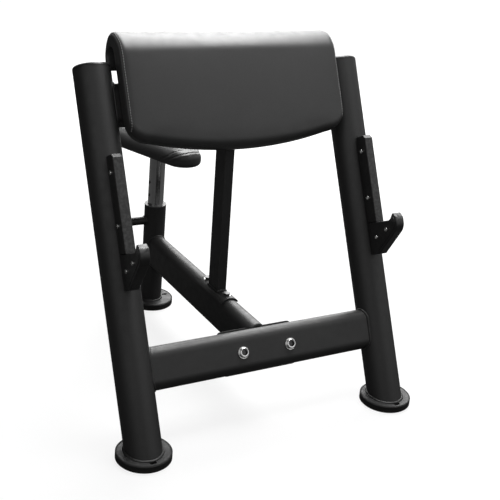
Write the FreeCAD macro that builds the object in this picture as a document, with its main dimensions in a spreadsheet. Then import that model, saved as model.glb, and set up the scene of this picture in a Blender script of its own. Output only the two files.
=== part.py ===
"""Preacher curl bench: a leaning post frame with an arm pad, bar catches and a seat that slides in a rear sleeve.

Millimetres, +Z up, +X to the right seen from the front, the front (bar catches) towards -Y.
The origin is on the floor, in the middle of the bench's width and depth.
"""
import FreeCAD, Part
import math
import os
import re

import Sketcher
from FreeCAD import Placement, Rotation, Vector

# Driving dimensions
SIZES = {
    # Posts and flat-oval tube stock
    "lean": 26,
    "post_spacing": 690,
    "post_d": 89,
    "post_wall": 4,
    "post_len": 904,
    "cap_height": 10,
    "cap_round": 8,
    "cap_plug": 20,
    "tube_h": 103,
    "tube_d": 50,
    "tube_wall": 4,
    "lower_beam_s": 199,
    "upper_bar_drop": 86,
    "rear_reach": 746,
    "spine_drop": 1,
    "spine_nose": 9,
    # Feet
    "disc_d": 124,
    "disc_t": 8,
    "foot_base_t": 10,
    "foot_lip": 4,
    "foot_lip_h": 9,
    "foot_chamfer": 2,
    "anchor_width": 10,
    "anchor_length": 18,
    "front_anchor_y": 52,
    "rear_anchor_x": 46,
    # Flange joint between spine and lower crossbeam
    "flange_w": 208,
    "flange_t": 8,
    "flange_drop": 5,
    "flange_rise": 2,
    "flange_corner": 10,
    "flange_bolt_x": 66.5,
    "m12_d": 12,
    "m12_head_d": 25,
    "m12_head_h": 6.5,
    "m12_socket": 12,
    "m12_nut_d": 21,
    "m12_nut_h": 10,
    "m12_washer_d": 29,
    # Strut and its saddle
    "strut_y": 333,
    "strut_w": 25,
    "strut_d": 52,
    "strut_wall": 3,
    "saddle_t": 5,
    "saddle_len": 147,
    "saddle_skirt": 16,
    "saddle_bolt_gap": 107,
    "m10_d": 10,
    "m10_head_d": 19,
    "m10_head_h": 6.5,
    "m10_washer_d": 21,
    "m10_length": 22,
    "insert_d": 15,
    "insert_len": 20,
    # Bar catches
    "catch_plate_t": 8,
    "liner_t": 8,
    "liner_w": 24,
    "liner_back": 3,
    "liner_round": 2.5,
    "guide_front": 86,
    "guide_top_s": 696,
    "notch_s": 470,
    "notch_front": 144,
    "lip_tip": 157,
    "lip_rise": 16,
    "hook_reach": 169,
    "hook_chin_s": 446,
    "hook_low_s": 388,
    "hook_heel": 80,
    "hook_chin_r": 30,
    "hook_brow_r": 14,
    "lip_tip_r": 5,
    "guide_screw": 64,
    "guide_screw_low_s": 535,
    "guide_screw_high_s": 656,
    "hook_screw_front": 123,
    "hook_screw_front_s": 448,
    "hook_screw_back": 78,
    "hook_screw_back_s": 432,
    "m6_d": 6,
    "m6_head_d": 11,
    "m6_head_h": 3.3,
    "m6_socket": 4,
    # Arm pad
    "pad_post_gap": 3.5,
    "pad_thick": 44,
    "pad_crown": 3,
    "pad_below": 127,
    "pad_bow_r": 1080,
    "pad_corner_r": 50,
    "pad_edge_r": 14,
    "pad_bottom_r": 16,
    "roll_above": 106,
    "roll_gap": 44,
    "roll_peak": 10,
    "lip_thick": 23.3,
    "lip_drop": 18,
    "lip_corner_r": 14,
    "lip_edge_r": 8,
    "roll_inner_rise": 8,
    "board_t": 12,
    "board_inset": 32,
    "board_below": 80,
    "board_above": 87,
    "board_corner": 20,
    "pad_bolt_x": 180,
    "pad_bolt_rise": 24,
    "m8_d": 8,
    "m8_head_d": 14,
    "m8_head_h": 5.5,
    "m8_washer_d": 18,
    "tee_barrel_d": 11,
    "tee_flange_d": 19,
    "tee_flange_t": 1.5,
    # Rear sleeve, seat post and lock
    "sleeve_d": 63.5,
    "sleeve_wall": 4,
    "sleeve_top": 320,
    "bush_flange_d": 65,
    "bush_flange_h": 3,
    "bush_depth": 64,
    "seat_post_d": 46,
    "seat_post_wall": 3,
    "seat_post_low": 150,
    "hole_d": 12,
    "hole_pitch": 40,
    "hole_count": 6,
    "holes_below": 2,
    "glide_t": 10,
    "glide_plug": 25,
    "lock_z": 272,
    "lock_stroke": 12,
    "lock_pin_d": 11,
    "lock_rod_d": 8,
    "lock_tip_gap": 0.5,
    "lock_house_d": 24,
    "lock_guide": 10,
    "lock_chamber_d": 18,
    "lock_chamber": 38,
    "lock_end_t": 8,
    "lock_collar_d": 17,
    "lock_collar_t": 4,
    "spring_d": 13,
    "spring_wire": 1.8,
    "spring_turns": 5,
    "knob_d": 40,
    "knob_len": 32,
    "knob_neck_d": 22,
    "knob_round": 6,
    # Seat
    "seat_bottom": 499,
    "seat_plate_w": 90,
    "seat_plate_len": 160,
    "seat_plate_t": 8,
    "seat_bolt_x": 32,
    "seat_bolt_y": 64,
    "seat_nose_y": 160,
    "seat_nose_r": 52,
    "seat_rear": 155,
    "seat_wing_r": 60,
    "seat_wing_x": 82,
    "seat_thick": 50,
    "seat_crown": 6,
    "seat_edge_r": 22,
    "seat_tuck": 6,
    "seat_board_inset": 14,
    # Clearances
    "run_gap": 0.05,
    "bolt_gap": 0.5,
    "soft_gap": 0.3,
    "step_gap": 0.5,
}

doc = FreeCAD.newDocument("preacher_curl_bench")
sheet = doc.addObject("Spreadsheet::Sheet", "dims")
for row, (size_name, size) in enumerate(SIZES.items(), start=1):
    sheet.set(f"A{row}", size_name)
    sheet.set(f"B{row}", str(size))
    sheet.setAlias(f"B{row}", size_name)
doc.recompute()

# Shared places, as formulas of the driving dimensions
FOOT_R = "(disc_d / 2 + soft_gap + foot_lip)"
BASE_TOP = "(foot_base_t + disc_t)"
FRONT_Y = f"(-(rear_reach + seat_rear - {FOOT_R}) / 2)"
REAR_Y = f"({FRONT_Y} + rear_reach)"
AXIS_Y = f"({FRONT_Y} - foot_base_t * tan(lean))"
SPINE_RUN = f"({REAR_Y} - {AXIS_Y})"
SPINE_Z = "(lower_beam_s * cos(lean) - spine_drop)"
SPINE_ROUND_Z = f"({SPINE_Z} + (tube_h - tube_d) / 2)"
FLANGE_BACK = "(tube_d / 2 + flange_t)"
FLANGE_TOP_S = "(lower_beam_s + tube_h / 2 + flange_rise)"
UPPER_S = "(post_len - upper_bar_drop)"
PAD_W = "(post_spacing - post_d - 2 * pad_post_gap)"
PAD_LOW_S = f"({UPPER_S} - pad_below)"
ROLL_S = f"({UPPER_S} + roll_above)"
BOARD_W = f"({PAD_W} - 2 * board_inset)"
BOARD_LOW_S = f"({UPPER_S} - board_below)"
BOARD_HIGH_S = f"({UPPER_S} + board_above)"
STRUT_FOOT_Y = f"({FRONT_Y} + strut_y)"
STRUT_TOP_Y = f"({AXIS_Y} + {UPPER_S} * sin(lean))"
STRUT_TOP_Z = f"({UPPER_S} * cos(lean))"
STRUT_LEAN = f"atan(({STRUT_TOP_Y} - {STRUT_FOOT_Y}) / ({STRUT_TOP_Z} - {SPINE_ROUND_Z}))"
SADDLE_R = "(tube_d / 2 + run_gap + saddle_t)"
SADDLE_FLAT_Z = f"({SPINE_ROUND_Z} + sqrt({SADDLE_R} ^ 2 - (m10_washer_d / 2 + bolt_gap) ^ 2))"
WASHER_T = "2"
GUIDE_LOW_S = "(notch_s + step_gap)"
SLEEVE_BORE_R = "(sleeve_d / 2 - sleeve_wall)"
SEAT_PLATE_LOW = "(seat_bottom - seat_plate_t)"
CHAMBER_X = "(sleeve_d / 2 + lock_guide)"
CHAMBER_END = f"({CHAMBER_X} + lock_chamber)"
HOUSE_END = f"({CHAMBER_END} + lock_end_t)"
COLLAR_X = f"({CHAMBER_X} + lock_stroke + step_gap)"
KNOB_X = f"({HOUSE_END} + lock_stroke + 2 * step_gap)"


def tied(formula):
    """The formula with each driving dimension pointing at its cell."""
    return re.sub(r"[a-z_]\w*", lambda word: f"dims.{word[0]}" if word[0] in SIZES else word[0], formula)


def number(formula):
    """The formula's present value."""
    return float(sheet.evalExpression(tied(formula)))


def bind(item, prop, formula):
    item.setExpression(prop, tied(formula))


def stand(item, x="0", y="0", z="0"):
    """Places an upright sub-part."""
    item.setExpression("Placement.Base.x", tied(x))
    item.setExpression("Placement.Base.y", tied(y))
    item.setExpression("Placement.Base.z", tied(z))


def tilt(item, x="0"):
    """Places a sub-part in the leaning frame: its Z runs up the posts, its -Y faces forward."""
    base = f"create(<<vector>>; {x}; {AXIS_Y}; 0)"
    turn_back = "create(<<rotation>>; create(<<vector>>; 1; 0; 0); -lean)"
    item.setExpression("Placement", tied(f"create(<<placement>>; {base}; {turn_back})"))


def tilted():
    """The leaning frame as a plain placement."""
    return Placement(Vector(0, number(AXIS_Y), 0), Rotation(Vector(1, 0, 0), -number("lean")))


# Sketch and feature helpers
def new_body(label):
    body = doc.addObject("PartDesign::Body", label)
    body.Label = label
    return body


def new_sketch(body, role, offset=None):
    """A sketch on one of the body's origin planes, moved along the plane's normal by offset."""
    sketch = body.newObject("Sketcher::SketchObject", body.Label + "_sketch")
    plane = next(item for item in body.Origin.OriginFeatures if item.Role == role)
    sketch.AttachmentSupport = (plane, [""])
    sketch.MapMode = "FlatFace"
    if offset:
        bind(sketch, "AttachmentOffset.Base.z", offset)
    return sketch


def pin_point(sketch, geometry, position, x, y):
    for kind, formula in (("DistanceX", x), ("DistanceY", y)):
        index = sketch.addConstraint(
            Sketcher.Constraint(kind, -1, 1, geometry, position, number(formula)))
        bind(sketch, f"Constraints[{index}]", formula)


def set_radius(sketch, geometry, formula):
    index = sketch.addConstraint(Sketcher.Constraint("Radius", geometry, number(formula)))
    bind(sketch, f"Constraints[{index}]", formula)


def polygon(sketch, corners):
    """A closed outline through corners given as pairs of formulas."""
    points = [Vector(number(x), number(y), 0) for x, y in corners]
    lines = [sketch.addGeometry(Part.LineSegment(points[i - 1], points[i])) for i in range(len(points))]
    for i, line in enumerate(lines):
        sketch.addConstraint(Sketcher.Constraint("Coincident", line, 2, lines[(i + 1) % len(lines)], 1))
        pin_point(sketch, line, 2, *corners[i])


def rectangle(sketch, x0, x1, y0, y1):
    polygon(sketch, [(x0, y0), (x1, y0), (x1, y1), (x0, y1)])


def circle(sketch, x, y, radius):
    geometry = sketch.addGeometry(Part.Circle(Vector(number(x), number(y), 0), Vector(0, 0, 1), number(radius)))
    pin_point(sketch, geometry, 3, x, y)
    set_radius(sketch, geometry, radius)


def oval(sketch, x, y, length, width, along_x=False):
    """A flat oval: two half circles and two straight sides, long way up unless along_x."""
    half = f"({length} - {width}) / 2"
    if along_x:
        ends = [(f"{x} + {half}", y, -90), (f"{x} - {half}", y, 90)]
    else:
        ends = [(x, f"{y} + {half}", 0), (x, f"{y} - {half}", 180)]
    radius = number(f"{width} / 2")
    arcs = []
    for cx, cy, start in ends:
        ring = Part.Circle(Vector(number(cx), number(cy), 0), Vector(0, 0, 1), radius)
        arc = Part.ArcOfCircle(ring, math.radians(start), math.radians(start + 180))
        arcs.append((sketch.addGeometry(arc), arc, cx, cy))
    for (here, arc, _, _), (there, other, _, _) in ((arcs[0], arcs[1]), (arcs[1], arcs[0])):
        side = sketch.addGeometry(Part.LineSegment(arc.EndPoint, other.StartPoint))
        sketch.addConstraint(Sketcher.Constraint("Tangent", here, 2, side, 1))
        sketch.addConstraint(Sketcher.Constraint("Tangent", side, 2, there, 1))
    sketch.addConstraint(Sketcher.Constraint("Equal", arcs[0][0], arcs[1][0]))
    for geometry, _, cx, cy in arcs:
        pin_point(sketch, geometry, 3, cx, cy)
    set_radius(sketch, arcs[0][0], f"{width} / 2")


def pad(body, sketch, length, symmetric=False, backwards=False):
    feature = body.newObject("PartDesign::Pad", body.Label + "_pad")
    feature.Profile = sketch
    bind(feature, "Length", length)
    feature.SideType = "Symmetric" if symmetric else "One side"
    feature.Reversed = backwards
    doc.recompute()
    return feature


def cut(body, sketch, length=None, backwards=False):
    """A pocket: through everything both ways, or to a length on one side of the sketch."""
    before = body.Shape.Volume
    feature = body.newObject("PartDesign::Pocket", body.Label + "_cut")
    feature.Profile = sketch
    if length is None:
        feature.Type = "ThroughAll"
        feature.SideType = "Symmetric"
    else:
        bind(feature, "Length", length)
        feature.Reversed = backwards
    doc.recompute()
    if body.Shape.Volume >= before:
        raise RuntimeError(f"{body.Label}: a cut removed nothing")
    return feature


def revolve(body, corners, axis="V_Axis"):
    """A turned piece: the outline through corners on the XZ plane, turned about the sketch's axis."""
    sketch = new_sketch(body, "XZ_Plane")
    polygon(sketch, corners)
    feature = body.newObject("PartDesign::Revolution", body.Label + "_turn")
    feature.Profile = sketch
    feature.ReferenceAxis = (sketch, [axis])
    feature.Angle = 360
    doc.recompute()
    return feature


def round_edges(body, radius, wanted):
    """Fillets the edges of the body's last feature that wanted accepts."""
    last = body.Tip
    names = [f"Edge{i}" for i, edge in enumerate(last.Shape.Edges, start=1) if wanted(edge)]
    feature = body.newObject("PartDesign::Fillet", body.Label + "_round")
    feature.Base = (last, names)
    bind(feature, "Radius", radius)
    doc.recompute()
    return feature


def runs_along(axis):
    """Accepts straight edges parallel to the axis."""
    def wanted(edge):
        if not isinstance(edge.Curve, Part.Line):
            return False
        return abs(edge.Curve.Direction.dot(axis)) > 0.999
    return wanted


def group(label, pattern, places):
    """Identical pieces that share one node: copies of a pattern piece at each place."""
    piece = doc.addObject("Part::Feature", label)
    piece.Label = label
    copies = []
    for place in places:
        copy = pattern.Shape.copy()
        copy.Placement = place.multiply(copy.Placement)
        copies.append(copy)
    piece.Shape = Part.makeCompound(copies)
    piece.Placement = Placement()
    return piece


parts = []
SIDES = (("left", "-1"), ("right", "1"))


# Posts, with their lower ends cut level with the base discs, and their top caps
def make_post(name, side):
    body = new_body(f"{name}_post")
    tilt(body, f"{side} * post_spacing / 2")
    start = "(post_d / 2 * tan(lean))"
    ring = new_sketch(body, "XY_Plane", f"-{start}")
    circle(ring, "0", "0", "post_d / 2")
    circle(ring, "0", "0", "post_d / 2 - post_wall")
    pad(body, ring, f"post_len + {start}")
    floor_cut = new_sketch(body, "YZ_Plane")
    polygon(floor_cut, [
        ("-post_d", f"({BASE_TOP} - post_d * sin(lean)) / cos(lean)"),
        ("post_d", f"({BASE_TOP} + post_d * sin(lean)) / cos(lean)"),
        ("post_d", "-2 * post_d"),
        ("-post_d", "-2 * post_d")])
    cut(body, floor_cut)
    parts.append(body)


def make_post_cap(name, side):
    body = new_body(f"{name}_post_cap")
    tilt(body, f"{side} * post_spacing / 2")
    plug_r = "post_d / 2 - post_wall - run_gap"
    revolve(body, [
        ("0", "post_len - cap_plug"),
        (plug_r, "post_len - cap_plug"),
        (plug_r, "post_len"),
        ("post_d / 2", "post_len"),
        ("post_d / 2", "post_len + cap_height"),
        ("0", "post_len + cap_height")])
    top = number("post_len + cap_height")
    outer = number("post_d / 2")
    round_edges(body, "cap_round", lambda edge: abs(edge.BoundBox.ZMin - top) < 1e-3
                and abs(edge.BoundBox.ZMax - top) < 1e-3 and abs(edge.BoundBox.XMax - outer) < 1e-3)
    parts.append(body)


# Feet: a welded steel disc in a rubber cup, both with an anchor slot
def foot_slots(body, spots):
    for x, y in spots:
        slot = new_sketch(body, "XY_Plane")
        oval(slot, x, y, "anchor_length", "anchor_width", along_x=True)
        cut(body, slot)


def make_foot(name, x, y, spots):
    disc = new_body(f"{name}_base_disc")
    stand(disc, x, y)
    ring = new_sketch(disc, "XY_Plane", "foot_base_t")
    circle(ring, "0", "0", "disc_d / 2")
    pad(disc, ring, "disc_t")
    foot_slots(disc, spots)
    cup = new_body(f"{name}_foot_pad")
    stand(cup, x, y)
    lip_r = "disc_d / 2 + soft_gap"
    lip_top = "foot_base_t + foot_lip_h"
    revolve(cup, [
        ("0", "0"),
        (f"{FOOT_R} - foot_chamfer", "0"),
        (FOOT_R, "foot_chamfer"),
        (FOOT_R, f"{lip_top} - foot_chamfer"),
        (f"{FOOT_R} - foot_chamfer", lip_top),
        (lip_r, lip_top),
        (lip_r, "foot_base_t"),
        ("0", "foot_base_t")])
    foot_slots(cup, spots)
    parts.extend([disc, cup])


for side_name, side_sign in SIDES:
    make_post(side_name, side_sign)
    make_post_cap(side_name, side_sign)
    make_foot(side_name, f"{side_sign} * post_spacing / 2", FRONT_Y, [("0", "-front_anchor_y")])
make_foot("rear", "0", REAR_Y, [("-rear_anchor_x", "0"), ("rear_anchor_x", "0")])


# Crossbeams: flat-oval tubes coped to the posts
def make_crossbeam(label, height, holes):
    body = new_body(label)
    tilt(body)
    section = new_sketch(body, "YZ_Plane")
    oval(section, "0", height, "tube_h", "tube_d")
    oval(section, "0", height, "(tube_h - 2 * tube_wall)", "(tube_d - 2 * tube_wall)")
    pad(body, section, "post_spacing", symmetric=True)
    ends = new_sketch(body, "XY_Plane")
    circle(ends, "-post_spacing / 2", "0", "post_d / 2")
    circle(ends, "post_spacing / 2", "0", "post_d / 2")
    cut(body, ends)
    bolts = new_sketch(body, "XZ_Plane")
    for x, s, radius in holes:
        circle(bolts, x, s, radius)
    cut(body, bolts)
    parts.append(body)


FLANGE_SPOTS = [("-flange_bolt_x", "lower_beam_s"), ("flange_bolt_x", "lower_beam_s")]
PAD_SPOTS = [(f"{i} * pad_bolt_x", f"{UPPER_S} + {k} * pad_bolt_rise") for i in (-1, 1) for k in (-1, 1)]
make_crossbeam("lower_crossbeam", "lower_beam_s", [(x, s, "m12_d / 2 + bolt_gap") for x, s in FLANGE_SPOTS])
make_crossbeam("upper_crossbar", UPPER_S, [(x, s, "m8_d / 2 + bolt_gap") for x, s in PAD_SPOTS])


# Spine: the same tube run back to the sleeve, its front end cut to the leaning flange and lapped over its top
def make_spine():
    def behind(depth, s):
        """A place in the spine's side view: depth back from the posts' mid-plane, s up their slope."""
        return f"{s} * sin(lean) + {depth} * cos(lean)", f"{s} * cos(lean) - {depth} * sin(lean)"

    body = new_body("spine")
    stand(body, y=AXIS_Y)
    section = new_sketch(body, "XZ_Plane")
    oval(section, "0", SPINE_Z, "tube_h", "tube_d")
    oval(section, "0", SPINE_Z, "(tube_h - 2 * tube_wall)", "(tube_d - 2 * tube_wall)")
    pad(body, section, SPINE_RUN, backwards=True)
    cope = new_sketch(body, "XY_Plane")
    circle(cope, "0", SPINE_RUN, "sleeve_d / 2")
    cut(body, cope)
    foot = behind(FLANGE_BACK, "0")
    step = f"({FLANGE_TOP_S} + run_gap)"
    peak = behind("spine_nose", "2 * lower_beam_s")
    front = new_sketch(body, "YZ_Plane")
    polygon(front, [foot, behind(FLANGE_BACK, step), behind("spine_nose", step), peak,
                    ("-post_d", peak[1]), ("-post_d", foot[1])])
    cut(body, front)
    inserts = new_sketch(body, "XY_Plane", SPINE_Z)
    for k in (-1, 1):
        circle(inserts, "0", f"{STRUT_FOOT_Y} - {AXIS_Y} + {k} * saddle_bolt_gap / 2", "insert_d / 2 + run_gap")
    cut(body, inserts, "tube_h", backwards=True)
    parts.append(body)


def make_flange():
    body = new_body("spine_flange")
    tilt(body)
    plate = new_sketch(body, "XZ_Plane", "-tube_d / 2")
    rectangle(plate, "-flange_w / 2", "flange_w / 2", "lower_beam_s - tube_h / 2 - flange_drop", FLANGE_TOP_S)
    pad(body, plate, "flange_t", backwards=True)
    round_edges(body, "flange_corner", runs_along(Vector(0, 1, 0)))
    holes = new_sketch(body, "XZ_Plane")
    for x, s in FLANGE_SPOTS:
        circle(holes, x, s, "m12_d / 2 + bolt_gap")
    cut(body, holes)
    parts.append(body)


make_spine()
make_flange()


# Fastener patterns: each stands at the origin with its seat at z = 0 and its shank pointing down
def make_bolt(label, diameter, head_d, head_h, length, socket=None, hex_head=False):
    body = new_body(label)
    shank = new_sketch(body, "XY_Plane")
    circle(shank, "0", "0", f"{diameter} / 2")
    pad(body, shank, length, backwards=True)
    head = new_sketch(body, "XY_Plane")
    if hex_head:
        hexagon(head, f"{head_d} / 2")
    else:
        circle(head, "0", "0", f"{head_d} / 2")
    pad(body, head, head_h)
    if socket:
        recess = new_sketch(body, "XY_Plane", head_h)
        hexagon(recess, f"{socket} / sqrt(3)")
        cut(body, recess, f"{head_h} * 0.6")
    return body


def round_head(bolt, head_h):
    """Turns a bolt's plain head into a button head."""
    top = number(head_h)
    round_edges(bolt, f"{head_h} / 2", lambda edge: isinstance(edge.Curve, Part.Circle)
                and abs(edge.BoundBox.ZMin - top) < 1e-6)


def hexagon(sketch, radius):
    polygon(sketch, [(f"{radius} * cos({60 * i})", f"{radius} * sin({60 * i})") for i in range(6)])


def make_ring(label, outer_d, bore_d, height, hexagonal=False):
    body = new_body(label)
    sketch = new_sketch(body, "XY_Plane")
    if hexagonal:
        hexagon(sketch, f"{outer_d} / 2")
    else:
        circle(sketch, "0", "0", f"{outer_d} / 2")
    circle(sketch, "0", "0", f"{bore_d} / 2")
    pad(body, sketch, height)
    return body


def make_tee_nut():
    """A flange at z = 0 and a threaded barrel below it."""
    body = new_body("tee_nut_pattern")
    bore = "m8_d / 2 + run_gap"
    barrel = "board_t - 2 * tee_flange_t"
    revolve(body, [
        (bore, f"-({barrel})"),
        ("tee_barrel_d / 2", f"-({barrel})"),
        ("tee_barrel_d / 2", "0"),
        ("tee_flange_d / 2", "0"),
        ("tee_flange_d / 2", "tee_flange_t"),
        (bore, "tee_flange_t")])
    return body


FORWARD = Rotation(Vector(1, 0, 0), 90)
BACKWARD = Rotation(Vector(1, 0, 0), -90)
LEFTWARD = Rotation(Vector(0, 1, 0), -90)


def leaning_places(spots, depth, turn):
    """Places in the leaning frame: depth is the distance behind the posts' middle plane."""
    return [tilted().multiply(Placement(Vector(number(x), number(depth), number(s)), turn)) for x, s in spots]


def make_flange_fasteners():
    grip = f"(tube_d + flange_t + 2 * {WASHER_T})"
    bolt = make_bolt("m12_bolt_pattern", "m12_d", "m12_head_d", "m12_head_h", f"{grip} + m12_nut_h + 3", "m12_socket")
    round_head(bolt, "m12_head_h")
    washer = make_ring("m12_washer_pattern", "m12_washer_d", "(m12_d + 2 * run_gap)", WASHER_T)
    nut = make_ring("m12_nut_pattern", "m12_nut_d", "(m12_d + 2 * run_gap)", "m12_nut_h", hexagonal=True)
    front = f"-(tube_d / 2 + {WASHER_T})"
    parts.append(group("flange_bolts", bolt, leaning_places(FLANGE_SPOTS, front, FORWARD)))
    washers = leaning_places(FLANGE_SPOTS, "-tube_d / 2", FORWARD)
    washers += leaning_places(FLANGE_SPOTS, FLANGE_BACK, BACKWARD)
    parts.append(group("flange_washers", washer, washers))
    parts.append(group("flange_nuts", nut, leaning_places(FLANGE_SPOTS, f"{FLANGE_BACK} + {WASHER_T}", BACKWARD)))


make_flange_fasteners()


# Strut: a rectangular tube from the saddle on the spine up to the underside of the upper crossbar
def make_strut():
    foot = f"create(<<vector>>; 0; {STRUT_FOOT_Y}; {SPINE_ROUND_Z})"
    turn_back = f"create(<<rotation>>; create(<<vector>>; 1; 0; 0); -{STRUT_LEAN})"
    blank = new_body("strut_blank")
    blank.setExpression("Placement", tied(f"create(<<placement>>; {foot}; {turn_back})"))
    section = new_sketch(blank, "XY_Plane", "tube_d / 4")
    rectangle(section, "-strut_w / 2", "strut_w / 2", "-strut_d / 2", "strut_d / 2")
    rectangle(section, "-strut_w / 2 + strut_wall", "strut_w / 2 - strut_wall",
              "-strut_d / 2 + strut_wall", "strut_d / 2 - strut_wall")
    pad(blank, section, f"{STRUT_TOP_Z} - {SPINE_ROUND_Z} - tube_d / 2")
    saddle_round = doc.addObject("Part::Cylinder", "saddle_round")
    bind(saddle_round, "Radius", SADDLE_R)
    bind(saddle_round, "Height", "saddle_len")
    saddle_round.Placement = Placement(Vector(), BACKWARD)
    stand(saddle_round, y=f"{STRUT_FOOT_Y} - saddle_len / 2", z=SPINE_ROUND_Z)
    bar_outline = new_body("upper_bar_outline")
    tilt(bar_outline)
    outline = new_sketch(bar_outline, "YZ_Plane")
    oval(outline, "0", UPPER_S, "tube_h", "tube_d")
    pad(bar_outline, outline, "2 * strut_w", symmetric=True)
    footed = doc.addObject("Part::Cut", "strut_footed")
    footed.Base = blank
    footed.Tool = saddle_round
    strut = doc.addObject("Part::Cut", "strut")
    strut.Base = footed
    strut.Tool = bar_outline
    strut.Label = "strut"
    parts.append(strut)


# Saddle: half a pipe over the spine's round top, with flats for the bolts' washers
def make_saddle():
    body = new_body("strut_saddle")
    stand(body, y=STRUT_FOOT_Y)
    section = new_sketch(body, "XZ_Plane")
    circle(section, "0", SPINE_ROUND_Z, SADDLE_R)
    circle(section, "0", SPINE_ROUND_Z, f"{SADDLE_R} - saddle_t")
    pad(body, section, "saddle_len", symmetric=True)
    lower = new_sketch(body, "XZ_Plane")
    rectangle(lower, f"-2 * {SADDLE_R}", f"2 * {SADDLE_R}", f"{SPINE_ROUND_Z} - 2 * {SADDLE_R}",
              f"{SPINE_ROUND_Z} + saddle_skirt")
    cut(body, lower)
    flats = new_sketch(body, "XY_Plane", SADDLE_FLAT_Z)
    holes = new_sketch(body, "XY_Plane")
    for k in (-1, 1):
        circle(flats, "0", f"{k} * saddle_bolt_gap / 2", "m10_washer_d / 2 + bolt_gap")
        circle(holes, "0", f"{k} * saddle_bolt_gap / 2", "m10_d / 2 + bolt_gap")
    cut(body, flats, "saddle_t", backwards=True)
    cut(body, holes)
    parts.append(body)


def make_saddle_fasteners():
    bolt = make_bolt("m10_bolt_pattern", "m10_d", "m10_head_d", "m10_head_h", "m10_length", hex_head=True)
    washer = make_ring("m10_washer_pattern", "m10_washer_d", "(m10_d + 2 * run_gap)", WASHER_T)
    insert = make_ring("insert_pattern", "insert_d", "(m10_d + 2 * run_gap)", "insert_len")
    insert_top = f"sqrt((tube_d / 2) ^ 2 - (insert_d / 2 + run_gap) ^ 2) - {2 * SIZES['run_gap']}"
    insert_low = f"{SPINE_ROUND_Z} + {insert_top} - insert_len"
    levels = (("saddle_bolts", bolt, f"{SADDLE_FLAT_Z} + {WASHER_T}"), ("saddle_washers", washer, SADDLE_FLAT_Z),
              ("saddle_inserts", insert, insert_low))
    for label, pattern, z in levels:
        places = [Placement(Vector(0, number(f"{STRUT_FOOT_Y} + {k} * saddle_bolt_gap / 2"), number(z)), Rotation())
                  for k in (-1, 1)]
        parts.append(group(label, pattern, places))


make_strut()
make_saddle()
make_saddle_fasteners()

# Bar catches: steel plates on the posts' fronts, in plastic liners. Outlines are (distance forward, height up the post)
PLATE_BACK = "(post_d / 2)"
LINER_BACK = "(post_d / 2 + liner_back)"
GUIDE_PLATE = [
    (PLATE_BACK, f"{GUIDE_LOW_S} + liner_t"),
    ("guide_front - liner_t", f"{GUIDE_LOW_S} + liner_t"),
    ("guide_front - liner_t", "guide_top_s - liner_t"),
    (PLATE_BACK, "guide_top_s - liner_t")]
HOOK_PLATE = [
    (PLATE_BACK, "hook_low_s + liner_t"),
    ("hook_heel", "hook_low_s + liner_t"),
    ("hook_reach - liner_t", "hook_chin_s + liner_t / 2"),
    ("hook_reach - liner_t", "notch_s - liner_t"),
    (PLATE_BACK, "notch_s - liner_t")]
GUIDE_LINER = [
    (LINER_BACK, GUIDE_LOW_S),
    ("guide_front", GUIDE_LOW_S),
    ("guide_front", "guide_top_s - liner_t"),
    ("guide_front - liner_t", "guide_top_s"),
    (LINER_BACK, "guide_top_s")]
HOOK_LINER = [
    (LINER_BACK, "hook_low_s"),
    ("hook_heel", "hook_low_s"),
    ("hook_reach", "hook_chin_s"),
    ("hook_reach", "notch_s + lip_rise / 4"),
    ("lip_tip + liner_t / 3", "notch_s + lip_rise"),
    ("lip_tip - liner_t / 3", "notch_s + lip_rise"),
    ("notch_front", "notch_s + lip_rise / 4"),
    ("notch_front - liner_t", "notch_s"),
    (LINER_BACK, "notch_s")]
HOOK_ROUNDS = [
    ("hook_reach", "hook_chin_s", "hook_chin_r"),
    ("hook_reach", "notch_s + lip_rise / 4", "hook_brow_r"),
    ("lip_tip + liner_t / 3", "notch_s + lip_rise", "lip_tip_r"),
    ("lip_tip - liner_t / 3", "notch_s + lip_rise", "lip_tip_r")]
GUIDE_SCREWS = [("guide_screw", "guide_screw_low_s"), ("guide_screw", "guide_screw_high_s")]
HOOK_SCREWS = [("hook_screw_front", "hook_screw_front_s"), ("hook_screw_back", "hook_screw_back_s")]


def catch_sketch(body, outline):
    sketch = new_sketch(body, "YZ_Plane")
    polygon(sketch, [(f"-({forward})", s) for forward, s in outline])
    return sketch


def screw_holes(body, screws, length=None):
    """Holes across the catch: right through a plate, or blind from the left face of a liner."""
    offset = None if length is None else "-liner_w / 2"
    holes = new_sketch(body, "YZ_Plane", offset)
    for forward, s in screws:
        circle(holes, f"-{forward}", s, "m6_d / 2 + run_gap")
    cut(body, holes, length, backwards=length is not None)


def make_catch_plate(label, side, outline, screws):
    body = new_body(label)
    tilt(body, f"{side} * post_spacing / 2")
    pad(body, catch_sketch(body, outline), "catch_plate_t", symmetric=True)
    screw_holes(body, screws)
    parts.append(body)


def crosses_at(forward, s):
    """Accepts the edge that runs across a catch at one corner of its outline."""
    across = runs_along(Vector(1, 0, 0))
    corner = Vector(0, -number(forward), number(s))
    return lambda edge: across(edge) and edge.CenterOfMass.distanceToPoint(corner) < 1e-3


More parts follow.
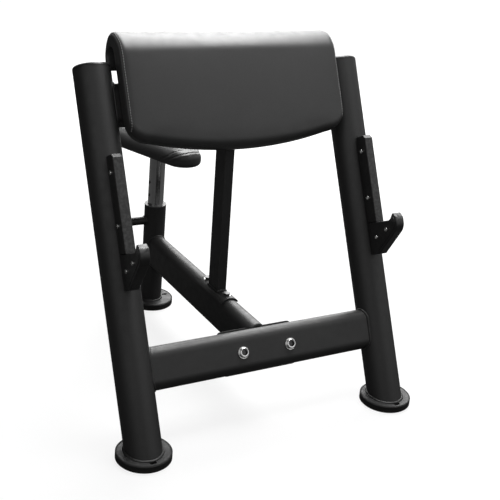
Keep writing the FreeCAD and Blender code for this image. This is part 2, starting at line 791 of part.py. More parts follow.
def make_liner(label, side, outline, plate, screws, rounds):
    """A moulded channel that slides over the plate's edge from the front."""
    body = new_body(label)
    tilt(body, f"{side} * post_spacing / 2")
    pad(body, catch_sketch(body, outline), "liner_w", symmetric=True)
    for forward, s, radius in rounds:
        round_edges(body, radius, crosses_at(forward, s))
    faces = [number("liner_w / 2"), -number("liner_w / 2")]
    flat = lambda edge: edge.BoundBox.XLength < 1e-6 and any(abs(edge.BoundBox.XMin - x) < 1e-6 for x in faces)
    round_edges(body, "liner_round", flat)
    slot = new_sketch(body, "YZ_Plane", "-catch_plate_t / 2 - run_gap")
    heights = [number(s) for _, s in plate]
    low = plate[heights.index(min(heights))][1]
    high = plate[heights.index(max(heights))][1]
    grown = []
    for forward, s in plate:
        reach = "0" if forward == PLATE_BACK else f"{forward} + run_gap"
        level = f"{s} - run_gap" if s == low else f"{s} + run_gap" if s == high else s
        grown.append((f"-({reach})", level))
    polygon(slot, grown)
    cut(body, slot, "catch_plate_t + 2 * run_gap", backwards=True)
    screw_holes(body, screws, "liner_w - liner_round")
    parts.append(body)


for side_name, side_sign in SIDES:
    make_catch_plate(f"{side_name}_guide_plate", side_sign, GUIDE_PLATE, GUIDE_SCREWS)
    make_catch_plate(f"{side_name}_hook_plate", side_sign, HOOK_PLATE, HOOK_SCREWS)
    make_liner(f"{side_name}_guide", side_sign, GUIDE_LINER, GUIDE_PLATE, GUIDE_SCREWS, [])
    make_liner(f"{side_name}_hook_liner", side_sign, HOOK_LINER, HOOK_PLATE, HOOK_SCREWS, HOOK_ROUNDS)


def make_catch_screws():
    screw = make_bolt("m6_screw_pattern", "m6_d", "m6_head_d", "m6_head_h", "liner_w - 2 * liner_round", "m6_socket")
    round_head(screw, "m6_head_h")
    places = []
    for _, side in SIDES:
        for forward, s in GUIDE_SCREWS + HOOK_SCREWS:
            spot = Vector(number(f"{side} * post_spacing / 2 - liner_w / 2"), -number(forward), number(s))
            places.append(tilted().multiply(Placement(spot, LEFTWARD)))
    parts.append(group("catch_screws", screw, places))


make_catch_screws()


# Arm pad: a board bolted to the upper crossbar, inside a cushion that rolls over the top
def make_pad_board():
    body = new_body("pad_board")
    tilt(body)
    plate = new_sketch(body, "XZ_Plane", "tube_d / 2")
    rectangle(plate, f"-{BOARD_W} / 2", f"{BOARD_W} / 2", BOARD_LOW_S, BOARD_HIGH_S)
    pad(body, plate, "board_t")
    round_edges(body, "board_corner", runs_along(Vector(0, 1, 0)))
    barrels = new_sketch(body, "XZ_Plane")
    seats = new_sketch(body, "XZ_Plane", "tube_d / 2 + board_t")
    for x, s in PAD_SPOTS:
        circle(barrels, x, s, "tee_barrel_d / 2 + run_gap")
        circle(seats, x, s, "tee_flange_d / 2 + run_gap")
    cut(body, barrels)
    cut(body, seats, "tee_flange_t + run_gap")
    parts.append(body)


def pad_bottom(x):
    """Height of the pad's lower edge at x: a shallow bow with a round corner at each end."""
    reach = abs(x)
    corner_r = number("pad_corner_r")
    bow_r = number("pad_bow_r")
    corner_x = number(f"{PAD_W} / 2") - corner_r
    low = number(PAD_LOW_S)
    bow = bow_r - math.sqrt(bow_r ** 2 - min(reach, corner_x) ** 2)
    if reach <= corner_x:
        return low + bow
    return low + bow + corner_r - math.sqrt(max(corner_r ** 2 - (reach - corner_x) ** 2, 0))


def pad_section(x, inset):
    """The pad's hooked outline at x, drawn in all round by inset: lines, arcs, and a half ellipse over the roll."""
    front = number("tube_d / 2 + pad_thick") - inset
    back = number("tube_d / 2 + soft_gap") + inset / 3
    bulge = number("pad_crown") * (1 - 0.8 * (x / number(f"{PAD_W} / 2")) ** 2)
    lip_out = number("tube_d / 2 + soft_gap - roll_gap - lip_thick") + inset
    lip_in = number("tube_d / 2 + soft_gap - roll_gap") - inset / 3
    roll_s = number(ROLL_S)
    roll_mid = (front + lip_out) / 2
    roll_r = (front - lip_out) / 2
    gap_mid = (back + lip_in) / 2
    gap_r = (back - lip_in) / 2
    gap_s = roll_s + number("roll_inner_rise")
    soft = number("pad_bottom_r")
    low = pad_bottom(x)
    skew = math.sqrt(0.5)

    def point(forward, s):
        return Vector(x, -forward, s)

    def line(a, b):
        return Part.LineSegment(point(*a), point(*b)).toShape()

    def arc(a, b, c):
        return Part.Arc(point(*a), point(*b), point(*c)).toShape()

    front_low = (front, low + soft)
    front_high = (front, roll_s)
    roll = Part.Ellipse(point(roll_mid, roll_s + roll_r + number("roll_peak")), point(front, roll_s), point(roll_mid, roll_s))
    lip_side = (lip_out, roll_s)
    lip_end = ((lip_out + lip_in) / 2, roll_s - (lip_in - lip_out) / 5)
    gap_low = (lip_in, roll_s)
    gap_front = (back, gap_s)
    gap_top = (gap_mid, gap_s + gap_r)
    back_low = (back, low + soft / 2)
    heel = (back + soft / 2, low)
    toe = (front - soft, low)
    gap_turn = gap_r * skew
    edges = [
        arc(front_low, (front + bulge, (low + soft + roll_s) / 2), front_high),
        Part.ArcOfEllipse(roll, 0, math.pi / 2).toShape(),
        Part.ArcOfEllipse(roll, -math.pi / 2, 0).toShape(),
        arc(lip_side, lip_end, gap_low),
        line(gap_low, (lip_in, gap_s)),
        arc((lip_in, gap_s), (gap_mid - gap_turn, gap_s + gap_turn), gap_top),
        arc(gap_top, (gap_mid + gap_turn, gap_s + gap_turn), gap_front),
        line(gap_front, back_low),
        arc(back_low, (back + soft / 2 * (1 - skew), low + soft / 2 * (1 - skew)), heel),
        line(heel, toe),
        arc(toe, (front - soft * (1 - skew), low + soft * (1 - skew)), front_low)]
    return Part.Wire(edges)


def make_roll_lip():
    """The roll's rear lip, hung behind the crossbar, with round lower corners and soft edges."""
    half = number(f"{PAD_W} / 2 - soft_gap")
    near = -number("tube_d / 2 - roll_gap")
    low = number(f"{ROLL_S} - lip_drop")
    top = number(f"{ROLL_S} + roll_inner_rise")
    slab = Part.makeBox(2 * half, number("lip_thick - 2 * soft_gap"), top - low, Vector(-half, near, low))
    corners = [edge for edge in slab.Edges if edge.BoundBox.YLength > 1 and edge.BoundBox.ZMax < top]
    slab = slab.makeFillet(number("lip_corner_r"), corners)
    rim = [edge for edge in slab.Edges if edge.BoundBox.YLength < 1 and edge.BoundBox.ZMin < top - 1]
    return slab.makeFillet(number("lip_edge_r"), rim)


def make_arm_pad():
    half = number(f"{PAD_W} / 2")
    edge_r = number("pad_edge_r")
    corner_x = half - number("pad_corner_r")
    # Shares of the edge radius, from the pad's end inwards, at the steps of a quarter circle
    steps = [math.radians(angle) for angle in (0, 25, 50, 70, 90)]
    places = [(half - edge_r + edge_r * math.cos(a), edge_r * (1 - math.sin(a))) for a in steps]
    places += [(corner_x + share * (half - edge_r - corner_x), 0) for share in (0.6, 0)]
    places += [(corner_x * share, 0) for share in (0.8, 0.6, 0.4, 0.2)]
    sections = [(x, inset) for x, inset in places] + [(0, 0)] + [(-x, inset) for x, inset in reversed(places)]
    cushion = Part.makeLoft([pad_section(x, inset) for x, inset in sections], True, True)
    cushion = cushion.fuse(make_roll_lip())
    gap = number("soft_gap")
    recess = Part.makeBox(number(BOARD_W) + 2 * gap, number("tube_d + board_t") + gap,
                          number(f"{BOARD_HIGH_S} - {BOARD_LOW_S}") + 2 * gap)
    recess.translate(Vector(-number(f"{BOARD_W} / 2") - gap, -number("tube_d / 2 + board_t") - gap,
                            number(BOARD_LOW_S) - gap))
    piece = doc.addObject("Part::Feature", "arm_pad")
    piece.Label = "arm_pad"
    piece.Shape = cushion.cut(recess)
    piece.Placement = tilted()
    parts.append(piece)


def make_pad_fasteners(tee_nut):
    length = f"tube_d + board_t + {WASHER_T} - tee_flange_t"
    bolt = make_bolt("m8_bolt_pattern", "m8_d", "m8_head_d", "m8_head_h", length, hex_head=True)
    washer = make_ring("m8_washer_pattern", "m8_washer_d", "(m8_d + 2 * run_gap)", WASHER_T)
    parts.append(group("pad_bolts", bolt, leaning_places(PAD_SPOTS, f"tube_d / 2 + {WASHER_T}", BACKWARD)))
    parts.append(group("pad_washers", washer, leaning_places(PAD_SPOTS, "tube_d / 2", BACKWARD)))
    seat = "-(tube_d / 2 + board_t - tee_flange_t - run_gap)"
    parts.append(group("pad_tee_nuts", tee_nut, leaning_places(PAD_SPOTS, seat, FORWARD)))


TEE_NUT = make_tee_nut()
make_pad_board()
make_arm_pad()
make_pad_fasteners(TEE_NUT)


# Rear sleeve with its bush, drilled on the left for the lock pin
def lock_hole(body, radius, z="lock_z"):
    hole = new_sketch(body, "YZ_Plane")
    circle(hole, "0", z, radius)
    return cut(body, hole, "sleeve_d")


def make_sleeve():
    body = new_body("rear_sleeve")
    stand(body, y=REAR_Y)
    ring = new_sketch(body, "XY_Plane", BASE_TOP)
    circle(ring, "0", "0", "sleeve_d / 2")
    circle(ring, "0", "0", SLEEVE_BORE_R)
    pad(body, ring, f"sleeve_top - {BASE_TOP}")
    lock_hole(body, "lock_pin_d / 2 + bolt_gap")
    parts.append(body)


def make_bush():
    body = new_body("sleeve_bush")
    stand(body, y=REAR_Y)
    bore = "seat_post_d / 2 + run_gap"
    outer = f"{SLEEVE_BORE_R} - run_gap"
    top = "sleeve_top + bush_flange_h"
    revolve(body, [
        (bore, "sleeve_top - bush_depth"),
        (outer, "sleeve_top - bush_depth"),
        (outer, "sleeve_top"),
        ("bush_flange_d / 2", "sleeve_top"),
        ("bush_flange_d / 2", top),
        (bore, top)])
    lock_hole(body, "lock_pin_d / 2 + bolt_gap")
    parts.append(body)


# Lock: a barrel on the sleeve's left side with a collared pin, a return spring and a pull knob, drawn pulled out
def make_lock_housing():
    body = new_body("lock_housing")
    stand(body, y=REAR_Y, z="lock_z")
    guide_r = "lock_pin_d / 2 + run_gap"
    rod_r = "lock_rod_d / 2 + run_gap"
    revolve(body, [
        (f"-{HOUSE_END}", rod_r),
        (f"-{HOUSE_END}", "lock_house_d / 2"),
        (f"-{SLEEVE_BORE_R}", "lock_house_d / 2"),
        (f"-{SLEEVE_BORE_R}", guide_r),
        (f"-{CHAMBER_X}", guide_r),
        (f"-{CHAMBER_X}", "lock_chamber_d / 2"),
        (f"-{CHAMBER_END}", "lock_chamber_d / 2"),
        (f"-{CHAMBER_END}", rod_r)], axis="H_Axis")
    cope = new_sketch(body, "XY_Plane")
    circle(cope, "0", "0", "sleeve_d / 2")
    cut(body, cope)
    parts.append(body)


def make_lock_pin():
    body = new_body("lock_pin")
    stand(body, y=REAR_Y, z="lock_z")
    tip = "seat_post_d / 2 + lock_tip_gap"
    point = "lock_pin_d / 8"
    revolve(body, [
        (f"-({tip})", "0"),
        (f"-({tip})", f"lock_pin_d / 2 - {point}"),
        (f"-({tip} + {point})", "lock_pin_d / 2"),
        (f"-{COLLAR_X}", "lock_pin_d / 2"),
        (f"-{COLLAR_X}", "lock_collar_d / 2"),
        (f"-({COLLAR_X} + lock_collar_t)", "lock_collar_d / 2"),
        (f"-({COLLAR_X} + lock_collar_t)", "lock_rod_d / 2"),
        (f"-({KNOB_X} + knob_len / 2)", "lock_rod_d / 2"),
        (f"-({KNOB_X} + knob_len / 2)", "0")], axis="H_Axis")
    parts.append(body)


def make_lock_knob():
    body = new_body("lock_knob")
    stand(body, y=REAR_Y, z="lock_z")
    bore = "lock_rod_d / 2 + run_gap"
    revolve(body, [
        (f"-{KNOB_X}", bore),
        (f"-{KNOB_X}", "knob_neck_d / 2"),
        (f"-({KNOB_X} + knob_len / 3)", "knob_neck_d / 2"),
        (f"-({KNOB_X} + knob_len / 3)", "knob_d / 2"),
        (f"-({KNOB_X} + knob_len)", "knob_d / 2"),
        (f"-({KNOB_X} + knob_len)", "0"),
        (f"-({KNOB_X} + knob_len / 2 + run_gap)", "0"),
        (f"-({KNOB_X} + knob_len / 2 + run_gap)", bore)], axis="H_Axis")
    grip_r = number("knob_d / 2")
    round_edges(body, "min(knob_round; knob_len / 4)", lambda edge: isinstance(edge.Curve, Part.Circle)
                and abs(edge.Curve.Radius - grip_r) < 1e-6)
    parts.append(body)


def make_lock_spring():
    """A round-wire coil between the pin's collar and the barrel's end."""
    rest_x = f"({COLLAR_X} + lock_collar_t + spring_wire)"
    length = f"({CHAMBER_END} - {rest_x} - spring_wire)"
    coil = doc.addObject("Part::Helix", "spring_line")
    bind(coil, "Radius", "(spring_d - spring_wire) / 2")
    bind(coil, "Height", length)
    bind(coil, "Pitch", f"{length} / spring_turns")
    wire = doc.addObject("Part::Circle", "spring_wire_section")
    bind(wire, "Radius", "spring_wire / 2")
    wire.Placement = Placement(Vector(), FORWARD)
    bind(wire, "Placement.Base.x", "(spring_d - spring_wire) / 2")
    spring = doc.addObject("Part::Sweep", "lock_spring")
    spring.Sections = [wire]
    spring.Spine = (coil, ["Edge1"])
    spring.Solid = True
    spring.Frenet = True
    spring.Label = "lock_spring"
    spring.Placement = Placement(Vector(), LEFTWARD)
    stand(spring, f"-{rest_x}", REAR_Y, "lock_z")
    parts.append(spring)


make_sleeve()
make_bush()
make_lock_housing()
make_lock_pin()
make_lock_knob()
make_lock_spring()


# Seat post: a tube drilled on the left at each seat height, with a glide in its lower end
def make_seat_post():
    body = new_body("seat_post")
    stand(body, y=REAR_Y)
    ring = new_sketch(body, "XY_Plane", "seat_post_low")
    circle(ring, "0", "0", "seat_post_d / 2")
    circle(ring, "0", "0", "seat_post_d / 2 - seat_post_wall")
    pad(body, ring, f"{SEAT_PLATE_LOW} - seat_post_low")
    first = lock_hole(body, "hole_d / 2", "lock_z - holes_below * hole_pitch")
    row_of_holes = body.newObject("PartDesign::LinearPattern", "seat_post_holes")
    row_of_holes.Originals = [first]
    row_of_holes.Direction = (first.Profile[0], ["V_Axis"])
    bind(row_of_holes, "Length", "hole_pitch * (hole_count - 1)")
    bind(row_of_holes, "Occurrences", "hole_count")
    body.Tip = row_of_holes
    parts.append(body)


def make_post_glide():
    body = new_body("post_glide")
    stand(body, y=REAR_Y)
    plug = "seat_post_d / 2 - seat_post_wall - run_gap"
    skirt = f"{SLEEVE_BORE_R} - 2 * run_gap"
    revolve(body, [
        ("0", "seat_post_low - glide_t"),
        (skirt, "seat_post_low - glide_t"),
        (skirt, "seat_post_low"),
        (plug, "seat_post_low"),
        (plug, "seat_post_low + glide_plug"),
        ("0", "seat_post_low + glide_plug")])
    parts.append(body)


SEAT_SPOTS = [(f"{i} * seat_bolt_x", f"{k} * seat_bolt_y") for i in (-1, 1) for k in (-1, 1)]


def make_seat_plate():
    body = new_body("seat_plate")
    stand(body, y=REAR_Y)
    plate = new_sketch(body, "XY_Plane", SEAT_PLATE_LOW)
    rectangle(plate, "-seat_plate_w / 2", "seat_plate_w / 2", "-seat_plate_len / 2", "seat_plate_len / 2")
    pad(body, plate, "seat_plate_t")
    round_edges(body, "seat_plate_t", runs_along(Vector(0, 0, 1)))
    holes = new_sketch(body, "XY_Plane")
    for x, y in SEAT_SPOTS:
        circle(holes, x, y, "m8_d / 2 + bolt_gap")
    cut(body, holes)
    parts.append(body)


def seat_outline(z, inset):
    """The seat's plan at height z, drawn in by inset: a narrow round nose in front and two round rear wings."""
    nose = (Vector(0, -number("seat_nose_y"), z), number("seat_nose_r") - inset)
    wing_r = number("seat_wing_r") - inset
    wing_y = number("seat_rear - seat_wing_r")
    right = (Vector(number("seat_wing_x"), wing_y, z), wing_r)
    left = (Vector(-number("seat_wing_x"), wing_y, z), wing_r)
    rounds = [nose, right, left]
    sides = []
    for (a, ra), (b, rb) in zip(rounds, rounds[1:] + rounds[:1]):
        run = b - a
        heading = math.atan2(run.y, run.x) - math.acos((ra - rb) / run.Length)
        out = Vector(math.cos(heading), math.sin(heading), 0)
        sides.append((a + out * ra, b + out * rb))
    edges = []
    for i, (start, end) in enumerate(sides):
        centre, radius = rounds[(i + 1) % 3]
        nxt = sides[(i + 1) % 3][0]
        away = (end - centre) + (nxt - centre)
        edges.append(Part.LineSegment(start, end).toShape())
        edges.append(Part.Arc(end, centre + away.normalize() * radius, nxt).toShape())
    return Part.Wire(edges)


def make_seat_board():
    bottom = number("seat_bottom")
    thick = number("board_t")
    blank = Part.Face(seat_outline(bottom, number("seat_board_inset"))).extrude(Vector(0, 0, thick))
    drills = []
    for x, y in SEAT_SPOTS:
        spot = Vector(number(x), number(y), bottom)
        drills.append(Part.makeCylinder(number("tee_barrel_d / 2 + run_gap"), thick, spot))
        depth = number("tee_flange_t + run_gap")
        drills.append(Part.makeCylinder(number("tee_flange_d / 2 + run_gap"), depth,
                                        spot + Vector(0, 0, thick - depth)))
    piece = doc.addObject("Part::Feature", "seat_board")
    piece.Label = "seat_board"
    piece.Shape = blank.cut(drills)
    piece.Placement = Placement(Vector(0, number(REAR_Y), 0), Rotation())
    parts.append(piece)


def make_seat_cushion():
    """A crowned cushion drawn in at its top and bottom edges, wrapped round the board."""
    bottom = number("seat_bottom")
    thick = number("seat_thick")
    edge = number("seat_edge_r")
    tuck = number("seat_tuck")
    shoulder = bottom + thick - number("seat_crown") - edge
    levels = [(bottom, tuck), (bottom + tuck / 2, tuck / 4), (bottom + 2 * tuck, 0), (shoulder, tuck / 4)]
    levels += [(shoulder + edge * math.sin(math.radians(a)), tuck / 4 + edge * (1 - math.cos(math.radians(a))))
               for a in (30, 55, 75)]
    levels.append((bottom + thick, number("seat_nose_r") * 0.85))
    cushion = Part.makeLoft([seat_outline(z, inset) for z, inset in levels], True, True)
    gap = number("soft_gap")
    recess_outline = seat_outline(bottom - gap, number("seat_board_inset") - gap)
    recess = Part.Face(recess_outline).extrude(Vector(0, 0, number("board_t") + 2 * gap))
    piece = doc.addObject("Part::Feature", "seat_cushion")
    piece.Label = "seat_cushion"
    piece.Shape = cushion.cut(recess)
    piece.Placement = Placement(Vector(0, number(REAR_Y), 0), Rotation())
    parts.append(piece)


def make_seat_fasteners(tee_nut):
    length = "seat_plate_t + board_t - tee_flange_t"
    bolt = make_bolt("seat_bolt_pattern", "m8_d", "m8_head_d", "m8_head_h", length, hex_head=True)
    upside_down = Rotation(Vector(1, 0, 0), 180)
    levels = (("seat_bolts", bolt, SEAT_PLATE_LOW, upside_down),
              ("seat_tee_nuts", tee_nut, "seat_bottom + board_t - tee_flange_t - run_gap", Rotation()))
    for label, pattern, z, turn in levels:
        places = [Placement(Vector(number(x), number(f"{REAR_Y} + {y}"), number(z)), turn) for x, y in SEAT_SPOTS]
        parts.append(group(label, pattern, places))


make_seat_post()
make_post_glide()
make_seat_plate()
make_seat_board()
make_seat_cushion()
make_seat_fasteners(TEE_NUT)

# Checks, then one file for each sub-part
doc.recompute()
for item in doc.Objects:
    if "Invalid" in item.State or "Error" in item.State:
        raise RuntimeError(f"{item.Label} failed: {item.State}")
for piece in parts:
    if piece.Shape.isNull() or not piece.Shape.isValid():
        raise RuntimeError(f"{piece.Label} has no valid shape")
os.makedirs("parts", exist_ok=True)
for piece in parts:
    piece.Shape.exportStep(f"parts/{piece.Label}.step")
    box = piece.Shape.BoundBox
    print(f"{piece.Label}: {len(piece.Shape.Solids)} solids, {piece.Shape.Volume / 1000:.1f} cm3, "
          f"z {box.ZMin:.1f} to {box.ZMax:.1f}")
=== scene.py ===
"""Looks of a preacher curl bench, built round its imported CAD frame.

Metres in the frame's own axes: +Z up, the bar catches towards -Y. Sizes below are in millimetres unless said.
"""

import math

import bmesh
import bpy
import numpy
from mathutils import Matrix, Vector, noise
from mathutils.bvhtree import BVHTree
from mathutils.kdtree import KDTree


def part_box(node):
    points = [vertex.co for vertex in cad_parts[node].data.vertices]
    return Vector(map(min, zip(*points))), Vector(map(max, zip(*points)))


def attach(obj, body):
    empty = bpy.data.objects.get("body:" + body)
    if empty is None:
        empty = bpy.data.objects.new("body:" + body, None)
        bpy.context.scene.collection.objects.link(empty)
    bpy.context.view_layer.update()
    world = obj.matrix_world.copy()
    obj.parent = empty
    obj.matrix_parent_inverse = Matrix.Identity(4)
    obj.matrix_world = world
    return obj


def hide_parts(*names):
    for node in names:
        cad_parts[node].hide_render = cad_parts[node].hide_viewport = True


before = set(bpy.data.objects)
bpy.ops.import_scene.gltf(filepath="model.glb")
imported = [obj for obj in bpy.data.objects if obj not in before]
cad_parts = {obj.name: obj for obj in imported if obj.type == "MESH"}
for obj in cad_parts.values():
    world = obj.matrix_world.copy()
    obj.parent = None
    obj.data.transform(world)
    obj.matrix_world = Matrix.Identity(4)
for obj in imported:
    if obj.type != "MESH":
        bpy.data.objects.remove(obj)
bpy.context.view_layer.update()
scene = bpy.context.scene

# Sizes and places of the CAD frame; an S is a distance up the leaning posts
MM = 0.001
LEAN = math.radians(26)
POST_X, POST_R = 345.0, 44.5
TUBE_H, TUBE_D = 103.0, 50.0
TUBE_FLAT = (TUBE_H - TUBE_D) / 2
LOWER_S, UPPER_S = 199.0, 818.0
FLANGE_TOP, FLANGE_T = 252.5, 8.0
BOLT_X = 66.5
BASE_TOP, FOOT_BASE_T = 18.0, 10.0
SLEEVE_R = 31.75
LOCK_Z, LOCK_HOUSE_R = 272.0, 12.0
STRUT_X, STRUT_Y, STRUT_FOOT = 12.5, 26.0, 333.0
SADDLE_T = 5.05
SPINE_DROP = 1.0
FRONT_Y = sum(corner.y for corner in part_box("left_foot_pad")) / 2 / MM
REAR_Y = sum(corner.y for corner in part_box("rear_foot_pad")) / 2 / MM
AXIS_Y = FRONT_Y - FOOT_BASE_T * math.tan(LEAN)
SPINE_Z = LOWER_S * math.cos(LEAN) - SPINE_DROP
SPINE_ROUND_Z = SPINE_Z + TUBE_FLAT


def at(x, y, z):
    """A point given in millimetres."""
    return Vector((x, y, z)) * MM


def leaning(x, forward, s):
    """A point of the leaning frame: forward of the posts' middle plane, and s up the posts."""
    return at(x, AXIS_Y + s * math.sin(LEAN) - forward * math.cos(LEAN),
              s * math.cos(LEAN) + forward * math.sin(LEAN))


def to_leaning(point):
    """A point's x, forward and s in the leaning frame, in millimetres."""
    x, y, z = point / MM
    y -= AXIS_Y
    return x, z * math.sin(LEAN) - y * math.cos(LEAN), y * math.sin(LEAN) + z * math.cos(LEAN)


def between(a, b, share):
    return a + (b - a) * share


def steps(a, b, count):
    """count values after a, the last one b."""
    return [between(a, b, (i + 1) / count) for i in range(count)]


# Material trees
def add_node(tree, kind, inputs=None, **settings):
    """A node with its settings; inputs are values or sockets to link, by name or number."""
    made = tree.nodes.new(kind)
    for key, value in settings.items():
        setattr(made, key, value)
    for key, value in (inputs or {}).items():
        if isinstance(value, bpy.types.NodeSocket):
            tree.links.new(value, made.inputs[key])
        else:
            made.inputs[key].default_value = value
    return made


def calc(tree, operation, *values):
    """The result of a math node on numbers or sockets."""
    return add_node(tree, "ShaderNodeMath", dict(enumerate(values)), operation=operation).outputs["Value"]


def ramp(tree, value, start, end, low, high, **settings):
    """value from start to end becomes low to high."""
    return add_node(tree, "ShaderNodeMapRange", {"Value": value, "From Min": start, "From Max": end,
                                                 "To Min": low, "To Max": high}, **settings).outputs["Result"]


class Finish:
    """A surface finish: one main shader, with patterns in object coordinates."""

    def __init__(self, name, **constants):
        self.material = bpy.data.materials.new(name)
        self.material.use_nodes = True
        self.tree = self.material.node_tree
        self.shader = self.tree.nodes["Principled BSDF"]
        for key, value in constants.items():
            self.shader.inputs[key.replace("_", " ")].default_value = value
        self.place = self.node("ShaderNodeTexCoord").outputs["Object"]

    def node(self, kind, inputs=None, **settings):
        return add_node(self.tree, kind, inputs, **settings)

    def mapped(self, **inputs):
        """The object's coordinates turned, moved or stretched."""
        return self.node("ShaderNodeMapping", {"Vector": self.place, **inputs}).outputs["Vector"]

    def cloud(self, scale, detail=3.0, place=None):
        inputs = {"Vector": place or self.place, "Scale": scale, "Detail": detail}
        return self.node("ShaderNodeTexNoise", inputs).outputs["Fac"]

    def cells(self, scale):
        found = self.node("ShaderNodeTexVoronoi", {"Vector": self.place, "Scale": scale}, feature="F1")
        return found.outputs["Distance"]

    def spread(self, value, low, high, start=0.3, end=0.7):
        return ramp(self.tree, value, start, end, low, high)

    def math(self, operation, *values):
        return calc(self.tree, operation, *values)

    def tint(self, share, first, second):
        a, b = (c if isinstance(c, bpy.types.NodeSocket) else (*c, 1.0) for c in (first, second))
        return self.node("ShaderNodeMix", {0: share, 6: a, 7: b}, data_type="RGBA").outputs[2]

    def facing_up(self):
        normal = self.node("ShaderNodeNewGeometry").outputs["Normal"]
        return self.node("ShaderNodeSeparateXYZ", {0: normal}).outputs["Z"]

    def colour(self, socket):
        self.tree.links.new(socket, self.shader.inputs["Base Color"])

    def roughness(self, socket):
        self.tree.links.new(socket, self.shader.inputs["Roughness"])

    def relief(self, *layers):
        """Bumps from (height, strength, depth in metres), one over the other."""
        normal = None
        for height, strength, depth in layers:
            inputs = {"Height": height, "Strength": strength, "Distance": depth}
            if normal:
                inputs["Normal"] = normal
            normal = self.node("ShaderNodeBump", inputs).outputs["Normal"]
        self.tree.links.new(normal, self.shader.inputs["Normal"])


def grey(level):
    return level, level, level


def powder_coat():
    """Baked black powder coat: a fine even grain, and a little dust where it faces up."""
    coat = Finish("black_powder_coat", Specular_IOR_Level=0.5)
    mottled = coat.spread(coat.cloud(4.0, 4.0), 0.0, 1.0)
    base = coat.tint(mottled, grey(0.0125), grey(0.0165))
    upward = coat.spread(coat.facing_up(), 0.0, 0.35, 0.5, 1.0)
    dust = coat.math("MULTIPLY", upward, coat.spread(coat.cloud(28.0, 5.0), 0.2, 1.0))
    coat.colour(coat.tint(dust, base, (0.034, 0.033, 0.031)))
    coat.roughness(coat.spread(coat.cloud(60.0, 2.0), 0.44, 0.54))
    coat.relief((coat.cloud(850.0, 2.0), 0.22, 0.0004), (coat.cloud(180.0, 2.0), 0.10, 0.0006))
    return coat.material


def foot_coat():
    """The same coat on the base discs, scuffed by shoes and dusty."""
    coat = Finish("scuffed_powder_coat", Specular_IOR_Level=0.32)
    base = coat.tint(coat.spread(coat.cloud(9.0, 4.0), 0.0, 1.0), grey(0.017), grey(0.027))
    scuff = coat.spread(coat.cloud(70.0, 6.0, coat.mapped(Scale=(1.0, 3.0, 1.0))), 0.0, 0.7, 0.56, 0.72)
    coat.colour(coat.tint(scuff, base, grey(0.062)))
    coat.roughness(coat.spread(coat.cloud(50.0, 3.0), 0.42, 0.6))
    coat.relief((coat.cloud(850.0, 2.0), 0.22, 0.0004))
    return coat.material


def vinyl():
    """Black upholstery vinyl: small rounded grain cells, soft sheen and slightly uneven tone."""
    skin = Finish("black_vinyl", Specular_IOR_Level=0.42)
    tone = skin.spread(skin.cloud(7.0, 3.0), 0.0, 1.0)
    grain = skin.cells(620.0)
    base = skin.tint(tone, grey(0.033), grey(0.037))
    skin.colour(skin.tint(skin.spread(grain, 0.0, 0.35, 0.35, 0.75), base, grey(0.020)))
    skin.roughness(skin.spread(skin.cloud(45.0, 3.0), 0.36, 0.46))
    skin.relief((skin.cloud(26.0, 2.0), 0.05, 0.0012), (grain, 0.16, 0.0003))
    return skin.material


def thread():
    twist = Finish("grey_thread", Specular_IOR_Level=0.2)
    twist.colour(twist.tint(twist.spread(twist.cloud(900.0, 2.0), 0.0, 1.0), grey(0.26), grey(0.42)))
    twist.roughness(twist.spread(twist.cloud(500.0, 2.0), 0.6, 0.8))
    twist.relief((twist.cloud(1500.0, 2.0), 0.4, 0.0003))
    return twist.material


def rubber():
    """Moulded rubber feet: dull, with fine pitting and pale floor dust near the ground."""
    cup = Finish("black_rubber", Specular_IOR_Level=0.28)
    height = cup.node("ShaderNodeSeparateXYZ", {0: cup.place}).outputs["Z"]
    near_floor = cup.spread(height, 0.5, 0.0, 0.0, 0.014)
    dusty = cup.math("MULTIPLY", near_floor, cup.spread(cup.cloud(90.0, 5.0), 0.0, 1.0))
    base = cup.tint(cup.spread(cup.cloud(30.0, 3.0), 0.0, 1.0), grey(0.009), grey(0.014))
    cup.colour(cup.tint(dusty, base, (0.045, 0.043, 0.040)))
    cup.roughness(cup.spread(cup.cloud(120.0, 3.0), 0.55, 0.72))
    cup.relief((cup.cloud(600.0, 3.0), 0.25, 0.0004))
    return cup.material


# Where rub marks and a painted highlight on the catches begin and are full up the posts, and fade to the rear,
# in metres
LIP_RUB_HIGHLIGHT_UP, LIP_RUB_HIGHLIGHT_BACK = (0.462, 0.480), (-0.150, -0.132)
GUIDE_RUB_HIGHLIGHT_UP, GUIDE_RUB_HIGHLIGHT_BACK = (0.468, 0.478), (-0.0862, -0.0835)


def moulded_plastic(name, low, high, worn_and_highlit):
    """Moulded plastic; on the catches, grey rub marks on the lips and front edges that are also a painted
    highlight there.
    """
    mould = Finish(name, Specular_IOR_Level=0.4)
    base = mould.tint(mould.spread(mould.cloud(14.0, 3.0), 0.0, 1.0), grey(low), grey(high))
    if worn_and_highlit:
        turned = mould.mapped(Rotation=(LEAN, 0.0, 0.0),
                              Location=(0.0, -AXIS_Y * MM * math.cos(LEAN), -AXIS_Y * MM * math.sin(LEAN)))
        split = mould.node("ShaderNodeSeparateXYZ", {0: turned})
        lip = mould.math("MULTIPLY", mould.spread(split.outputs["Z"], 0.0, 1.0, *LIP_RUB_HIGHLIGHT_UP),
                         mould.spread(split.outputs["Y"], 1.0, 0.0, *LIP_RUB_HIGHLIGHT_BACK))
        face = mould.math("MULTIPLY", mould.spread(split.outputs["Z"], 0.0, 0.2, *GUIDE_RUB_HIGHLIGHT_UP),
                          mould.spread(split.outputs["Y"], 1.0, 0.0, *GUIDE_RUB_HIGHLIGHT_BACK))
        rub_and_highlight = mould.math("MULTIPLY", mould.math("MAXIMUM", lip, face),
                            mould.spread(mould.cloud(160.0, 6.0), 0.1, 1.0, 0.42, 0.62))
        # Painted highlight and rub marks together: the lips and front faces are lightened towards grey
        base = mould.tint(rub_and_highlight, base, grey(0.17))
    mould.colour(base)
    mould.roughness(mould.spread(mould.cloud(80.0, 3.0), 0.30, 0.46))
    mould.relief((mould.cloud(420.0, 3.0), 0.12, 0.0004))
    return mould.material


